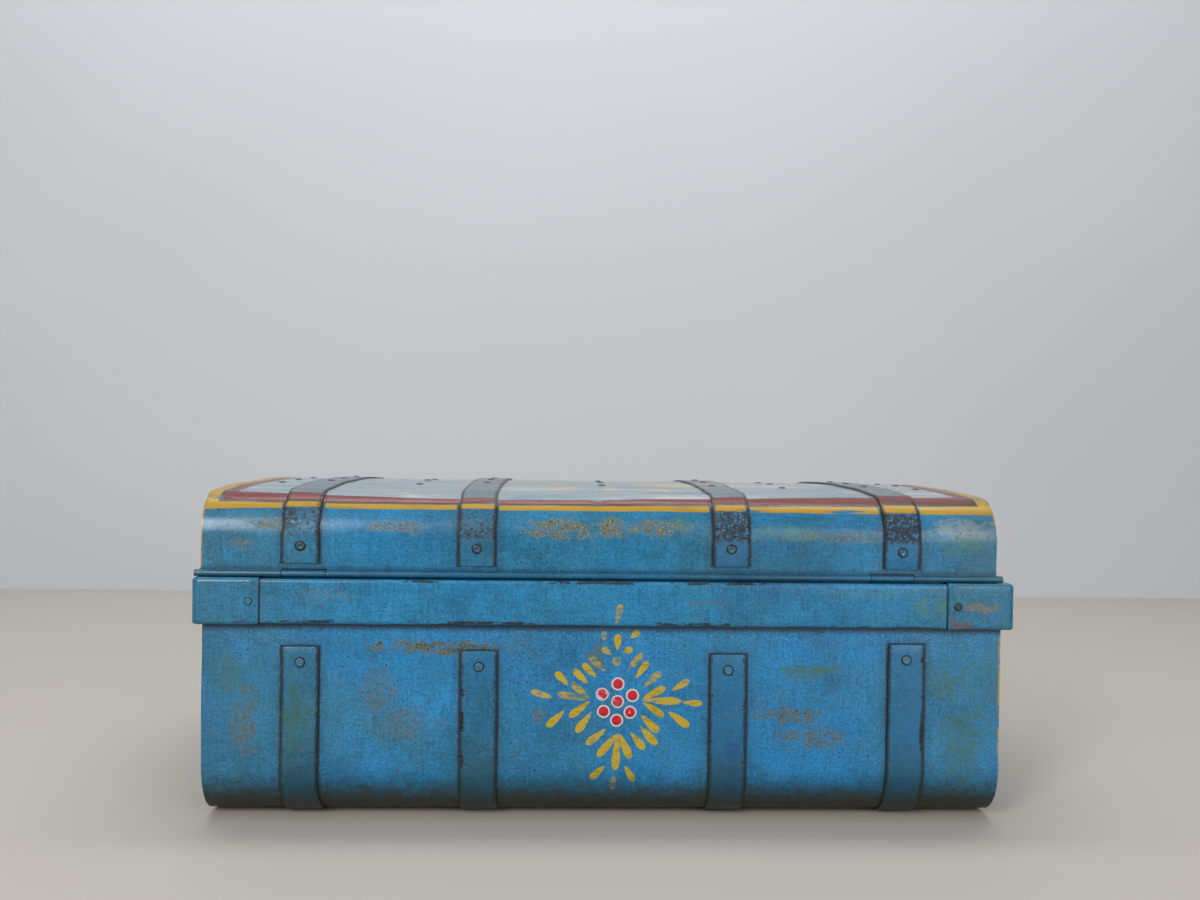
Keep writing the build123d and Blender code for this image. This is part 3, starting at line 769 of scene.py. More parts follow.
def dome(name):
    """A head of radius 1 and height 1, standing on its foot."""
    bpy.ops.object.select_all(action="DESELECT")
    bpy.ops.mesh.primitive_uv_sphere_add(segments=HEAD_SIDES, ring_count=16, radius=1)
    head = bpy.context.object
    head.name = name
    with shaping(head):
        pick("points", lambda m, p: p.co.z < -0.01)
        bpy.ops.mesh.delete(type="VERT")
    for point in head.data.vertices:
        reach = Vector(point.co.xy).length
        point.co.z = (1 - reach**5) - 0.3 * max(0.0, 1 - (reach / 0.5) ** 2)
    far = head.data.attributes.new("reach", "FLOAT", "POINT")
    for value, point in zip(far.data, head.data.vertices):
        value.value = Vector(point.co.xy).length
    return head


def seats(node):
    """The middle and the outward direction of each head in a group, from its solids."""
    groups = []
    for point in nodes[node].data.vertices:
        spot = point.co / MM
        for group in groups:
            if (group[0] - spot).length < SEAT_PITCH:
                group.append(spot)
                break
        else:
            groups.append([spot])
    for group in groups:
        middle = Vector([(min(places) + max(places)) / 2 for places in zip(*group)])
        x, y, z = middle
        if z > TOP_LOW:
            facing = Vector((0, y * 2 / ARCH, 1)).normalized()
        elif abs(x) > END_X:
            facing = Vector((side(x), 0, 0))
        else:
            facing = Vector((0, side(y), 0))
        yield middle, facing


def set_rivets(name, node, diameter, height, body_name):
    """Copy the head to every seat of a group, sink each foot a hair, and join them."""
    pattern = dome("pattern")
    radius = diameter / 2
    copies = []
    for count, (middle, facing) in enumerate(seats(node)):
        copy = bpy.data.objects.new(f"{name}_{count}", pattern.data.copy())
        bpy.context.scene.collection.objects.link(copy)
        turn = facing.to_track_quat("Z", "Y").to_matrix().to_4x4()
        odd = noise.noise_vector(middle / 17)
        size = Matrix.Diagonal((radius * (1 + 0.1 * odd.x), radius * (1 + 0.1 * odd.y), height, 1))
        tilt = Matrix.Rotation(0.09 * odd.z, 4, "X") @ Matrix.Rotation(count * 2.4, 4, "Z")
        foot = middle - facing * (height / 2 + 0.25)
        copy.data.transform(Matrix.Scale(MM, 4) @ Matrix.Translation(foot) @ turn @ tilt @ size)
        copies.append(copy)
    bpy.data.objects.remove(pattern)
    bpy.ops.object.select_all(action="DESELECT")
    for copy in copies:
        copy.select_set(True)
    bpy.context.view_layer.objects.active = copies[0]
    bpy.ops.object.join()
    group = bpy.context.object
    group.name = name
    move_points(group, wave)
    smooth(group, 50)
    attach(group, body_name)
    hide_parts(node)
    return group


# name, node of the solid model, diameter, height, body
HEADS = (
    ("body_band_rivets", "body_strap_rivets", 10.5, 2.1, "body"),
    ("lid_band_rivets", "lid_strap_rivets", 10.5, 2.1, "lid"),
    ("lid_top_rivets", "lid_batten_rivets", 8.6, 1.5, "lid"),
    ("collar_lap_rivets", "collar_rivets", 8.2, 1.5, "body"),
    ("knuckle_rivets", "hinge_leaf_rivets", 8.0, 1.6, "body"),
    ("handle_plate_rivets", "handle_rivets", 7.0, 1.6, "body"),
    ("hasp_plate_rivets", "hasp_bracket_rivets", 8.0, 1.6, "lid"),
)
rivets = [set_rivets(*row) for row in HEADS]
print("rivet groups:", count_faces(rivets))

# %% [markdown]
# All blue paint is built up in the same way: cloudy colour from two thin coats, brush marks,
# green where the coats have yellowed, then scuffs, chips and grime. Scuffs have a place: on
# back and front they are given along the side and up it, and the front mirrors the back.
# %% Paint layers
RAGGED, RELIEF = 9.0, 0.9


def tinted(colour, *shares):
    return tuple(c * share for c, share in zip(colour, shares))


def paler(colour, gain, lift):
    return tuple(min(1.0, c * gain + lift) for c in colour)


def larger(one, other):
    return other if one is None else one.most(other)


class Paint(Bench):
    """A bench that knows how this trunk's paint is laid on and wears."""

    def __init__(self, name):
        super().__init__(name)
        facing = (self.y < 0) * 2 - 1
        self.h = self.x * facing
        self.ragged = self.grain(RAGGED, detail=6, rough=0.7, start=3)
        self.scrape = self.grain(5, stretch=(2.4, 2.4, 1), detail=5, rough=0.8, start=7).ease(0.36, 0.6)
        self.height = self.grain(40, detail=2, start=9) * 0.4
        self.colour = None

    def place(self, up, at, size, angle=0.0):
        """The two coordinates from a spot of a side, turned, and counted in its own sizes."""
        (across, height), (wide, high) = at, size
        for far, along, upward in ((wide, cos(angle), sin(angle)), (high, -sin(angle), cos(angle))):
            start = -(across * along + height * upward) / far
            yield self.h.reckon("MULTIPLY_ADD", self.h, along / far, up * (upward / far) + start)

    def reach(self, up, at, size):
        """How far from the middle of an oval, which is 1 at its edge."""
        across, height = self.place(up, at, size)
        return across.reckon("SQRT", across * across + height * height)

    def spots(self, up, rows, broken=2.6):
        """Ragged patches: rows of across, up, half width, half height and strength."""
        total = None
        for across, height, wide, high, strength in rows:
            reach = self.reach(up, (across, height), (wide, high))
            patch = ((self.ragged - 0.5) * broken + 1 - reach).ease(0.0, 0.6) * strength
            total = larger(total, patch)
        return total * self.scrape

    def over(self, mask, look, relief=0.0):
        """Lay a colour on, given as it is seen, where the mask is 1."""
        self.blend(mask, seen(*look), relief)

    def blend(self, mask, colour, relief=0.0):
        """Lay a colour on where the mask is 1, and raise or sink it there."""
        self.colour = self.mix(mask, self.colour, colour)
        if relief:
            self.height = self.height + mask * relief

    def coats(self, deep, light, warm=0.35):
        """Two thin coats of one blue, brushed up and down and along."""
        deep, light = seen(*deep), seen(*light)
        cloud = self.grain(150, detail=6, rough=0.7).ease(0.38, 0.62)
        self.colour = self.mix(cloud, deep, light)
        aged = self.grain(70, detail=5, rough=0.65, start=5)
        self.blend(aged.ease(0.46, 0.34) * 0.55 * (1 - warm), tinted(light, 0.6, 0.98, 1.16))
        self.over(aged.ease(0.52, 0.7) * warm, (78, 108, 100))
        thinned = self.grain(120, detail=5, rough=0.7, start=18)
        self.over(thinned.ease(0.44, 0.62) * 0.4, (56, 120, 140))
        self.over(abs(self.x).ease(220, 375) * self.ragged.ease(0.2, 0.6) * 0.4, (76, 112, 116))
        teal = self.grain(48, detail=6, rough=0.72, start=6)
        self.blend(teal.ease(0.5, 0.64) * 0.4, paler(light, 1.2, 0.015))
        self.blend(teal.ease(0.48, 0.36) * 0.4, tinted(deep, 0.6, 0.66, 0.56))
        sandy = self.grain(1.9, detail=3, rough=0.75, start=4)
        self.blend(sandy.ease(0.52, 0.36) * 0.5, tinted(deep, 0.34, 0.42, 0.3))
        self.blend(sandy.ease(0.54, 0.66) * 0.32, paler(light, 1.7, 0.03))
        upright = self.grain(2.4, stretch=(1, 1, 9), detail=3, rough=0.65, start=1)
        along = self.grain(2.2, stretch=(8, 8, 1), detail=3, rough=0.65, start=2)
        self.brush = (upright + along) * 0.5
        self.blend(self.brush.ease(0.5, 0.36) * 0.34, tinted(deep, 0.4, 0.5, 0.38), -0.06)
        self.blend(self.brush.ease(0.5, 0.64) * 0.18, paler(light, 1.4, 0.03), 0.06)

    def speckle(self, share=1.0):
        """Pin-head chips and dust: dark pits, some brown, and pale specks."""
        crowd = self.grain(60, detail=3, start=12).ease(0.42, 0.66)
        self.over(self.flecks(6.5, 0.16, 1) * crowd * 0.85 * share, (34, 50, 54), -0.3)
        self.over(self.flecks(12, 0.13, 6) * crowd * 0.85 * share, (96, 78, 58), -0.3)
        self.over(self.flecks(3.1, 0.14, 8) * crowd * 0.3 * share, (110, 160, 184))

    def dry(self, gloss, dull=None):
        """Close the material: glossy where the paint is whole, dull where it is worn."""
        rough = (self.grain(26, detail=4, start=21) - 0.5) * 0.22 + self.brush * 0.12 + (gloss - 0.06)
        if dull is not None:
            rough = rough + dull * 0.3
        return self.finish(self.colour, rough, self.bump(self.height, RELIEF))


def turned(x0, z0, x1, z1):
    """Length and turn of a stroke between two spots."""
    return sqrt((x1 - x0) ** 2 + (z1 - z0) ** 2), atan2(z1 - z0, x1 - x0)


print("paint layers ready")

# %% [markdown]
# The flower is dabbed with a round brush: seven red dots on white ones, and pointed yellow
# petals round them. Each petal is one stroke from its point to its round end, some worn
# nearly away. It is in millimetres from the flower's middle.
# %% Flower
FLOWER_X, FLOWER_Z = 11.3, 116.1
YELLOW, FADED = (184, 156, 4), (106, 120, 84)
# From x and z of the point to x and z of the round end, width, wear from 0 to 1.
PETALS = (
    (-0.1, 49.3, 0.1, 63.9, 5.0, 0.0), (-6.1, 45.0, -14.1, 51.7, 4.5, 0.6),
    (4.8, 46.9, 13.3, 51.2, 4.5, 0.0), (-0.5, 32.9, -0.6, 42.6, 6.0, 0.8),
    (-19.9, 23.6, -32.8, 35.7, 4.6, 0.0), (-27.1, 16.3, -41.2, 30.2, 4.6, 0.0),
    (-46.5, 15.6, -58.2, 27.7, 4.6, 0.0), (-11.4, 29.1, -26.2, 43.7, 4.6, 0.8),
    (17.3, 22.6, 28.7, 38.5, 4.6, 0.0), (8.7, 29.3, 23.1, 45.2, 4.6, 0.7),
    (24.1, 13.5, 41.0, 28.2, 4.6, 0.6), (51.6, 11.0, 68.0, 20.5, 4.4, 0.2),
    (-25.7, 2.9, -42.9, 17.4, 4.8, 0.6), (-25.7, 2.3, -55.5, 7.0, 5.0, 0.8),
    (-25.7, 1.1, -44.3, -13.6, 5.0, 0.0), (-60.3, 3.3, -81.0, 9.9, 4.4, 0.3),
    (-49.3, -7.6, -66.1, -23.5, 4.8, 0.0), (-24.3, -9.9, -38.1, -28.2, 5.2, 0.0),
    (23.7, 3.1, 44.9, 13.6, 5.0, 0.0), (23.7, 1.9, 59.7, 0.9, 5.2, 0.2), (23.7, 1.3, 44.0, -13.2, 5.0, 0.0),
    (61.6, -0.1, 80.6, -1.1, 4.0, 0.0), (49.5, -9.3, 68.6, -22.9, 5.4, 0.0),
    (-10.1, -25.7, -28.2, -39.7, 5.0, 0.2), (22.6, -12.1, 39.3, -27.9, 5.6, 0.0),
    (21.6, -22.5, 37.7, -40.1, 5.4, 0.0), (13.1, -28.6, 26.1, -44.4, 5.0, 0.0),
    (1.5, -29.3, -17.1, -50.7, 5.2, 0.0), (0.9, -29.3, -1.1, -63.4, 5.4, 0.0),
    (2.1, -29.3, 12.8, -53.0, 5.4, 0.0), (-10.9, -60.4, -24.1, -73.2, 4.8, 0.0),
    (-2.3, -67.7, -3.3, -84.2, 4.2, 0.5), (8.0, -60.9, 16.7, -75.6, 4.6, 0.0),
    (-13.0, 58.4, -13.1, 66.9, 4.0, 0.5), (12.5, 61.0, 19.8, 67.7, 4.4, 0.0),
)
COLLAR_PETAL = ((-2.1, 75.6, 1.9, 93.7, 4.5, 0.7),)
# x, z and wear of each dot
DOTS = (
    (0.7, 17.3, 0.1), (-14.2, 7.5, 0.5), (14.7, 6.4, 0.0), (0.5, 0.6, 0.25), (-12.8, -8.9, 0.0),
    (12.5, -9.7, 0.05), (-0.2, -17.3, 0.0),
)
LEAD, PEAK = 0.25, 0.1554           # a stroke's outline is a (1 - a) (a a + lead), with this peak
BRUSH = 1.5                         # the outline's width, in widths of the row
WHITE_R, RED_R = (6.6, 5.8), (5.1, 4.4)


def petals(paint, rows):
    """Lay every stroke of the flower on the paint."""
    scratch = paint.grain(3.2, stretch=(2.5, 1, 0.8), start=33)
    total, faded = None, None
    for x0, z0, x1, z1, width, wear in rows:
        length, angle = turned(x0, z0, x1, z1)
        start = (FLOWER_X + x0, FLOWER_Z + z0)
        reach, off = paint.place(paint.z, start, (1.06 * length, BRUSH * width / 2), angle)
        drop = reach * (1 - reach) * (reach * reach + LEAD) / PEAK - off * off + (scratch - 0.5) * 0.6
        stroke = drop.ease(0.0, 0.2)
        if wear > 0.5:
            faded = larger(faded, stroke)
        if wear:
            stroke = stroke * (1 - 0.3 * wear) * scratch.ease(0.14 + 0.3 * wear, 0.44 + 0.3 * wear)
        total = larger(total, stroke)
    paint.over(faded * 0.6, FADED)
    paint.over(total * 0.96, YELLOW)
    paint.over(total * scratch.ease(0.5, 0.34) * 0.55, (122, 112, 34))


def dots(paint):
    wobble = (paint.grain(3.5, detail=2, start=41) - 0.5) * 0.35
    for x, z, wear in DOTS:
        at = (FLOWER_X + x, FLOWER_Z + z)
        reach = paint.reach(paint.z, at, (1, 1))
        paint.over((reach + wobble * 3).ease(*WHITE_R) * (0.92 - 0.3 * wear), (214, 198, 192))
        red = (reach + wobble * 2).ease(*RED_R)
        if wear:
            red = red * paint.ragged.ease(0.24 + 0.3 * wear, 0.36 + 0.3 * wear)
        paint.over(red, (186, 30, 58))
        # The lower side of each red dot is painted darker: painted shade on the dab.
        _, height = paint.place(paint.z, at, (1, 1))
        paint.over(red * (height + wobble * 8).ease(-0.5, -3) * 0.55, (122, 26, 42))


def beside_straps(paint, kind, way):
    """How far off the nearest strap is; dirt and painted shade lie in the corner it makes, and dust further
    off.
    """
    nearest = None
    for number in "1234":
        low, high = span(f"{kind}_strap_{number}")
        middle, half = (low[X] + high[X]) / 2, (high[X] - low[X]) / 2
        end = (paint.z - high[Z]) if way > 0 else (paint.z * -1 + low[Z])
        off = (abs(paint.x - middle) - half).most(end)
        nearest = off if nearest is None else nearest.least(off)
    edge = nearest + (paint.ragged - 0.5) * 2
    # Dark beside each strap, strongest in the corner: dirt, and painted shade of the strap's edge.
    paint.over(edge.ease(2.8, 0.8) * 0.88, (22, 34, 38))
    paint.over(edge.ease(12, 1) * 0.3, (36, 66, 80))
    dust = nearest.ease(16, 3) * paint.flecks(2.1, 0.24, 17) * paint.ragged.ease(0.4, 0.6)
    paint.over(dust * 0.5, (140, 178, 194))
    return nearest


# %% [markdown]
# The body wears most where it is knocked and where water splashes: scuffs beside the straps, with dirt and
# painted shade in the corners beside them, green where the blue has yellowed, rust spots, dust and a painted
# shadow under the collar, and mud, rust and painted shade low down.
# Rows of patches are across, up, half width, half height and strength.
# %% Body paint
paint = Paint("body_paint")
paint.coats((28, 105, 146), (42, 125, 178))
paint.speckle()
scuffs = paint.spots(paint.z, (
    (-160, 167, 66, 8, 1.8), (-215, 125, 20, 34, 0.6), (-190, 95, 36, 22, 0.6), (-340, 92, 16, 40, 0.7),
    (180, 104, 36, 9, 1.1), (200, 82, 50, 14, 0.8), (-63, 103, 10, 9, 1.0), (-8, 158, 12, 18, 0.7),
))
paint.over(scuffs * 0.9, (90, 100, 88), -0.12)
paint.over(scuffs * paint.flecks(2.6, 0.42, 57), (70, 64, 48), -0.12)
paint.over(scuffs * paint.flecks(3.5, 0.26, 59) * 0.8, (132, 128, 110))
green = paint.spots(paint.z, (
    (195, 146, 36, 10, 0.9), (345, 75, 26, 50, 0.7), (330, 135, 20, 20, 0.7), (-355, 140, 16, 30, 0.5),
    (362, 110, 30, 80, 0.35),
))
paint.over(green, (70, 106, 84))
rust = paint.spots(paint.z, ((-165, 88, 60, 30, 0.8), (200, 96, 70, 46, 0.8), (-100, 104, 20, 16, 0.5)))
paint.over(rust * paint.flecks(6, 0.2, 29), (92, 74, 54), -0.3)
near_strap = beside_straps(paint, "body", 1)
petals(paint, PETALS)
dots(paint)
dusty = paint.z.ease(158, 186) * paint.flecks(1.8, 0.26, 52)
paint.over(dusty * paint.ragged.ease(0.36, 0.56) * 0.75, (160, 190, 202))
# A dark band just under the collar: a painted shadow of the collar.
paint.over((paint.z + (paint.ragged - 0.5) * 5).ease(180, 188) * 0.8, (26, 36, 40))
# Darker towards the bottom: mud and rust, and painted shade on the lower bend.
low = paint.z + (paint.ragged - 0.5) * 34
grime_and_shade = low.ease(58, 22)
paint.over(grime_and_shade * 0.6, (40, 66, 70))
paint.over(low.ease(44, 16) * 0.85, (60, 58, 38))
paint.over(low.ease(18, 5) * paint.scrape * 0.7, (92, 78, 48), -0.2)
edge_line = paint.h.ease(378.6, 379.8) * paint.ragged.ease(0.42, 0.52) * (abs(paint.y) > 226.6)
paint.over(edge_line * paint.z.ease(188, 176) * 0.8, (170, 140, 30))
bottom_line = paint.z.ease(7.5, 5.5) * paint.ragged.ease(0.42, 0.52) * near_strap.ease(3, 8)
paint.over(bottom_line * 0.7, (150, 118, 40))
body_finish = paint.dry(0.36, scuffs.most(grime_and_shade))
print("body paint nodes:", len(paint.tree.nodes))

# %% [markdown]
# On the lid the painter ran a frame round the top: a yellow line on the rounding, a thin dark
# one, then a maroon band, mitred where it turns along the ends. Its place on the rounding is
# the way along the curve from the top of the wall, so it follows the bend.
# %% Lid paint
BEND_CENTRE_Y, BEND_CENTRE_Z = LID_Y - LID_BEND, 270.9
MAROON, DARK_LINE = (108, 10, 26), (8, 8, 12)


def along_curve(paint):
    """Millimetres over the lid's rounding, from the top of its wall."""
    rise = paint.z - BEND_CENTRE_Z
    out = abs(paint.y) - BEND_CENTRE_Y
    angle = rise.reckon("ARCTAN2", rise.most(0), out.most(0))
    return rise.least(0) + angle * LID_BEND + (out * -1).most(0)


def on_end(paint):
    """1 on the folded edge and the panel that close each end of the lid."""
    return abs(paint.x - (LID_RIGHT + LID_LEFT) / 2).ease(378.2, 378.9)


def inside_end(paint):
    """Millimetres from a spot of the end panel to the panel's outline."""
    rise = (paint.z - BEND_CENTRE_Z).most(0)
    out = (abs(paint.y) - BEND_CENTRE_Y).most(0)
    return LID_BEND - rise.reckon("SQRT", rise * rise + out * out)


def frame_lines(paint, curve, yellow_gap=None):
    """The frame of lines, laid over the colour that is there; also gives the field inside it."""
    h = paint.h / 100
    wander = (paint.grain(45, start=61) - 0.5) * 2.2
    curve = curve + wander
    end = (LID_RIGHT - LID_LEFT) / 2 - abs(paint.x - (LID_RIGHT + LID_LEFT) / 2) + wander
    square = h * h
    yellow_low, yellow_top = 28.8 - (h + 3.2).least(0) * -3, h * 0.63 + square * 0.22 + 35.0
    maroon_low, maroon_top = h * 1.07 + square * 0.4 + 37.7, h * 2.45 + square * 1.52 + 44.6
    soft = 0.5                          # half width of a line's soft edge
    top = 1 - on_end(paint)
    yellow = (curve - yellow_low).ease(-soft, soft) * top
    dark = (curve - yellow_top).ease(-0.3, soft) * end.ease(11.6, 12.4) * top
    maroon = (curve - maroon_low).ease(-soft, soft) * end.ease(15.5, 16.5) * top
    field = (curve - maroon_top).ease(-soft, soft) * end.ease(26, 27) * top
    thin = paint.grain(12, stretch=(5, 5, 0.6), detail=4, start=64)
    worn = thin.ease(0.68, 0.6)
    shown = yellow * worn
    if yellow_gap is not None:
        shown = shown * yellow_gap
    paint.over(shown, (170, 134, 2), 0.2)
    paint.over(shown * thin.ease(0.5, 0.62) * 0.5, (132, 104, 20))
    paint.over(dark * thin.ease(0.72, 0.62) * 0.9, DARK_LINE)
    paint.over(maroon * thin.ease(0.74, 0.64), MAROON, 0.2)
    return field


RAYS = 17


def top_field(paint, field):
    """The pale middle of the lid's top, with what is left of a big dabbed rosette."""
    pale = paint.grain(34, stretch=(4, 1, 1), detail=5, rough=0.65, start=71)
    paint.over(field, (136, 150, 157))
    paint.over(field * pale.ease(0.52, 0.64) * 0.7, (182, 185, 182))
    paint.over(field * pale.ease(0.46, 0.36) * 0.6, (92, 124, 142))
    turn = paint.y.reckon("ARCTAN2", paint.y, paint.x)
    from_middle = paint.node("ShaderNodeCombineXYZ", {}, {0: paint.x, 1: paint.y})
    far = paint.node("ShaderNodeVectorMath", {"operation": "LENGTH"}, {0: from_middle}, out="Value")
    ray = turn.reckon("SINE", turn * RAYS + (far / 60))
    stroke = ray.ease(0.35, 0.75) * far.ease(34, 42) * far.ease(172, 150) * pale.ease(0.42, 0.56)
    paint.over(field * stroke * 0.75, (214, 172, 120))
    ring = ray.ease(-0.3, -0.7) * far.ease(60, 70) * far.ease(128, 116) * pale.ease(0.46, 0.58)
    paint.over(field * ring * 0.75, (206, 172, 62))


paint = Paint("lid_paint")
paint.coats((28, 103, 140), (40, 121, 166), warm=0.3)
paint.speckle()
curve = along_curve(paint)
scuffs = paint.spots(curve, (
    (-322, 12, 22, 7, 0.8), (-200, 10, 34, 8, 0.9), (-48, 9, 42, 12, 1.3), (48, 12, 34, 10, 1.0),
    (225, 4, 60, 7, 0.6), (-345, -8, 18, 7, 0.6), (4, 12, 18, 12, 1.1),
))
paint.over(scuffs, (104, 106, 84), -0.12)
paint.over(scuffs * paint.flecks(2.6, 0.42, 57), (68, 60, 44), -0.12)
paint.over(scuffs * paint.flecks(3.3, 0.3, 59), (158, 148, 118))
green = paint.spots(curve, ((172, 8, 42, 10, 0.55), (345, -2, 30, 14, 0.55), (70, 16, 30, 8, 0.4)))
paint.over(green, (84, 128, 100))
# A grey-white patch near the right end of the rounding: partly a scuff, partly a painted highlight.
pale = paint.spots(curve, ((345, 14, 36, 12, 0.7),))
paint.over(pale, (150, 152, 144))
near_strap = beside_straps(paint, "lid", -1)
lid_field = frame_lines(paint, curve, near_strap.ease(2.2, 3.4))
top_field(paint, lid_field)
seam_low = (paint.h > 0) * 46 + 241
seam = on_end(paint) * inside_end(paint).ease(8, 7) * (paint.z > seam_low)
seam = seam * paint.ragged.ease(0.36, 0.48)
paint.over(seam * 0.9, (168, 134, 16))
low = paint.z + (paint.ragged - 0.5) * 5
paint.over(low.ease(245, 240.5) * 0.45, (30, 56, 66))
paint.over(paint.h.ease(318, 372) * (paint.z < 300) * 0.3, (66, 96, 96))
lid_finish = paint.dry(0.3, scuffs)
print("lid paint nodes:", len(paint.tree.nodes))

# %% [markdown]
# The collar's two folds have lost their paint in dashes, where lid and hands rub along them,
# and rust sits at its laps. Each dash needs both a fine stretched noise and a row of places
# where the fold is worn.
# %% Collar paint
paint = Paint("collar_paint")
paint.coats((32, 104, 144), (44, 124, 168), warm=0.25)
paint.speckle(0.8)
scuffs = paint.spots(paint.z, ((360, 210, 20, 6, 1.0), (100, 212, 30, 5, 0.25), (-265, 216, 30, 10, 0.3)))
paint.over(scuffs, (122, 114, 92), -0.1)
pitted = paint.spots(paint.z, ((-292, 222, 22, 6, 1),))
paint.over(pitted * paint.flecks(4, 0.4, 58), (40, 52, 56))
green = paint.spots(paint.z, ((302, 210, 10, 14, 0.6), (320, 212, 9, 18, 0.6), (250, 222, 60, 6, 0.3)))
paint.over(green, (84, 126, 100))
petals(paint, COLLAR_PETAL)
fray = (paint.grain(7, stretch=(3.5, 1, 1), detail=5, rough=0.7, start=81) - 0.5) * 4
dashes = paint.grain(8, stretch=(3, 3, 0.6), detail=4, rough=0.7, start=83) - 0.5
run_top = paint.spots(paint.z, ((-172, 231, 26, 30, 3), (-20, 231, 62, 30, 3), (120, 231, 80, 30, 2)), 0.6)
run_low = paint.spots(paint.z, ((-115, 190, 55, 30, 3), (-270, 190, 24, 30, 2), (75, 190, 60, 30, 1.6)), 0.6)
thin_top = abs(paint.z - 230.4 + fray).ease(1.5, 0.7) * (dashes * 6 + run_top - 0.9).ease(0, 0.5)
thin_low = abs(paint.z - 191.8 - fray * 0.6).ease(1.9, 0.9) * (dashes * 9 + run_low - 0.8).ease(0, 0.5)
chips = thin_top.most(thin_low)
paint.over(chips * 0.92, (44, 36, 36), -0.3)
paint.over(paint.z.ease(194, 189) * 0.4, (30, 54, 62))
lap_line = abs(abs(paint.x) - LAP_X)
paint.over(lap_line.ease(1.6, 0.4) * 0.8, (30, 44, 50))
corner_rust = paint.spots(paint.z, ((338, 194, 12, 5, 0.8), (331, 200, 3, 12, 0.7)))
paint.over(corner_rust, (110, 84, 72), -0.2)
collar_finish = paint.dry(0.3, scuffs.most(chips))
print("collar paint nodes:", len(paint.tree.nodes))

# %% [markdown]
# Straps take the hardest knocks. They carry the lid's frame lines over, then rust eats them on
# the bend and along both edges, where painted shade from the gap beside the sheet darkens them too,
# and the feet are dull with mud and painted shade. The attribute across a strap tells how near an edge is.
# %% Strap paint
paint = Paint("strap_paint")
paint.coats((32, 95, 124), (42, 109, 148), warm=0.6)
paint.over(paint.h.ease(-150, 150) * paint.ragged.ease(0.3, 0.6) * 0.6, (24, 104, 154))
paint.speckle(1.3)
across = paint.node("ShaderNodeAttribute", {"attribute_name": "across"}, {}, out="Fac")
curve = along_curve(paint)
field = frame_lines(paint, curve)
paint.over(field * 0.95, (66, 88, 94))
top_field(paint, field * 0.35)
rub = paint.grain(5, detail=5, rough=0.75, start=91)
on_bend = curve.ease(-6, 4) * curve.ease(31, 26)
crowd = paint.grain(60, start=93).ease(0.3, 0.55).most(paint.h.ease(60, 120))
rusty = on_bend * rub.ease(0.4, 0.52) * crowd
paint.over(rusty * 0.88, (50, 46, 44), -0.3)
paint.over(rusty * paint.flecks(3.4, 0.3, 98), (96, 132, 146))
paint.over(on_bend * paint.flecks(4.2, 0.34, 97) * 0.85, (34, 32, 34), -0.3)
# Darker along both edges: rust and dirt, and painted shade from the gap beside the sheet.
edge = abs(across) + (rub - 0.5) * 0.34
paint.over(edge.ease(0.78, 0.96) * 0.88, (34, 42, 44), -0.2)
chip = edge.ease(0.72, 0.84) * paint.grain(13, detail=4, rough=0.65, start=95).ease(0.6, 0.66)
paint.over(chip * 0.9, (50, 38, 34), -0.4)
notches = paint.spots(paint.z, (
    (-137, 97, 4, 15, 2), (-137, 124, 4, 6, 2), (-137, 60, 4, 8, 2), (305, 90, 3, 22, 1.4),
    (-272, 62, 3, 12, 1),
), 1.8)
paint.over(notches, (40, 32, 30), -0.4)
stain = paint.spots(paint.z, ((122, 73, 10, 11, 1.6),), 0.6)
paint.over(stain * 0.7, (20, 86, 136))
# Darker towards the feet: mud, and painted shade on the lower bend.
low = paint.z + (paint.ragged - 0.5) * 30
paint.over(low.ease(96, 20) * 0.7, (46, 64, 66))
paint.over(low.ease(40, 8) * 0.85, (54, 56, 48))
olive = paint.spots(paint.z, ((-292, 98, 20, 40, 0.7),))
paint.over(olive, (62, 96, 74))
strap_finish = paint.dry(0.36, rusty.most(chip))
print("strap paint nodes:", len(paint.tree.nodes))

# %% [markdown]
# A rivet head was painted with its strap; the brush left a dark ring of dirt round it, and
# its rim is rubbed. The distance from its middle comes from the head's own mesh.
# %% Rivet paint
paint = Paint("rivet_paint")
paint.coats((44, 98, 124), (56, 116, 150), warm=0.5)
reach = paint.node("ShaderNodeAttribute", {"attribute_name": "reach"}, {}, out="Fac")
paint.speckle()
paint.over(reach.ease(0.62, 0.8) * 0.92, (20, 28, 32))
worn = (reach + (paint.ragged - 0.5) * 0.8).ease(0.55, 0.7) * reach.ease(0.84, 0.7)
paint.over(worn * 0.5, (96, 88, 80), -0.2)
on_lid_side = abs(paint.z - 262).ease(16, 14) * paint.ragged.ease(0.44, 0.56)
on_right_lap = paint.h.ease(300, 310) * abs(paint.z - 210).ease(16, 14)
paint.over(on_lid_side.most(on_right_lap) * 0.75, (30, 36, 40))
on_top = paint.z.ease(296, 300)
paint.over(on_top * 0.8, (58, 62, 66))
rivet_finish = paint.dry(0.4)
print("rivet paint nodes:", len(paint.tree.nodes))

# %% [markdown]
# Fittings are forged iron, painted once with the trunk and since rubbed brown and black by
# hands. The wire and the rod inside the rolled edge were never painted.
# %% Iron
iron = Paint("fitting_iron")
iron.coats((52, 50, 50), (74, 70, 68), warm=0.0)
left_over = iron.grain(16, detail=6, rough=0.7, start=101)
iron.over(left_over.ease(0.52, 0.57) * 0.9, (44, 98, 128), 0.25)
iron.over(left_over.ease(0.44, 0.36) * 0.7, (104, 66, 42), -0.2)
iron.speckle(1.2)
iron_finish = iron.dry(0.42, left_over.ease(0.44, 0.36))

wire = Paint("bare_wire")
wire.coats((52, 60, 64), (70, 76, 78), warm=0.0)
wire.over(wire.grain(9, detail=5, rough=0.7, start=111).ease(0.5, 0.62) * 0.8, (96, 62, 42), 0.1)
wire_finish = wire.dry(0.4)

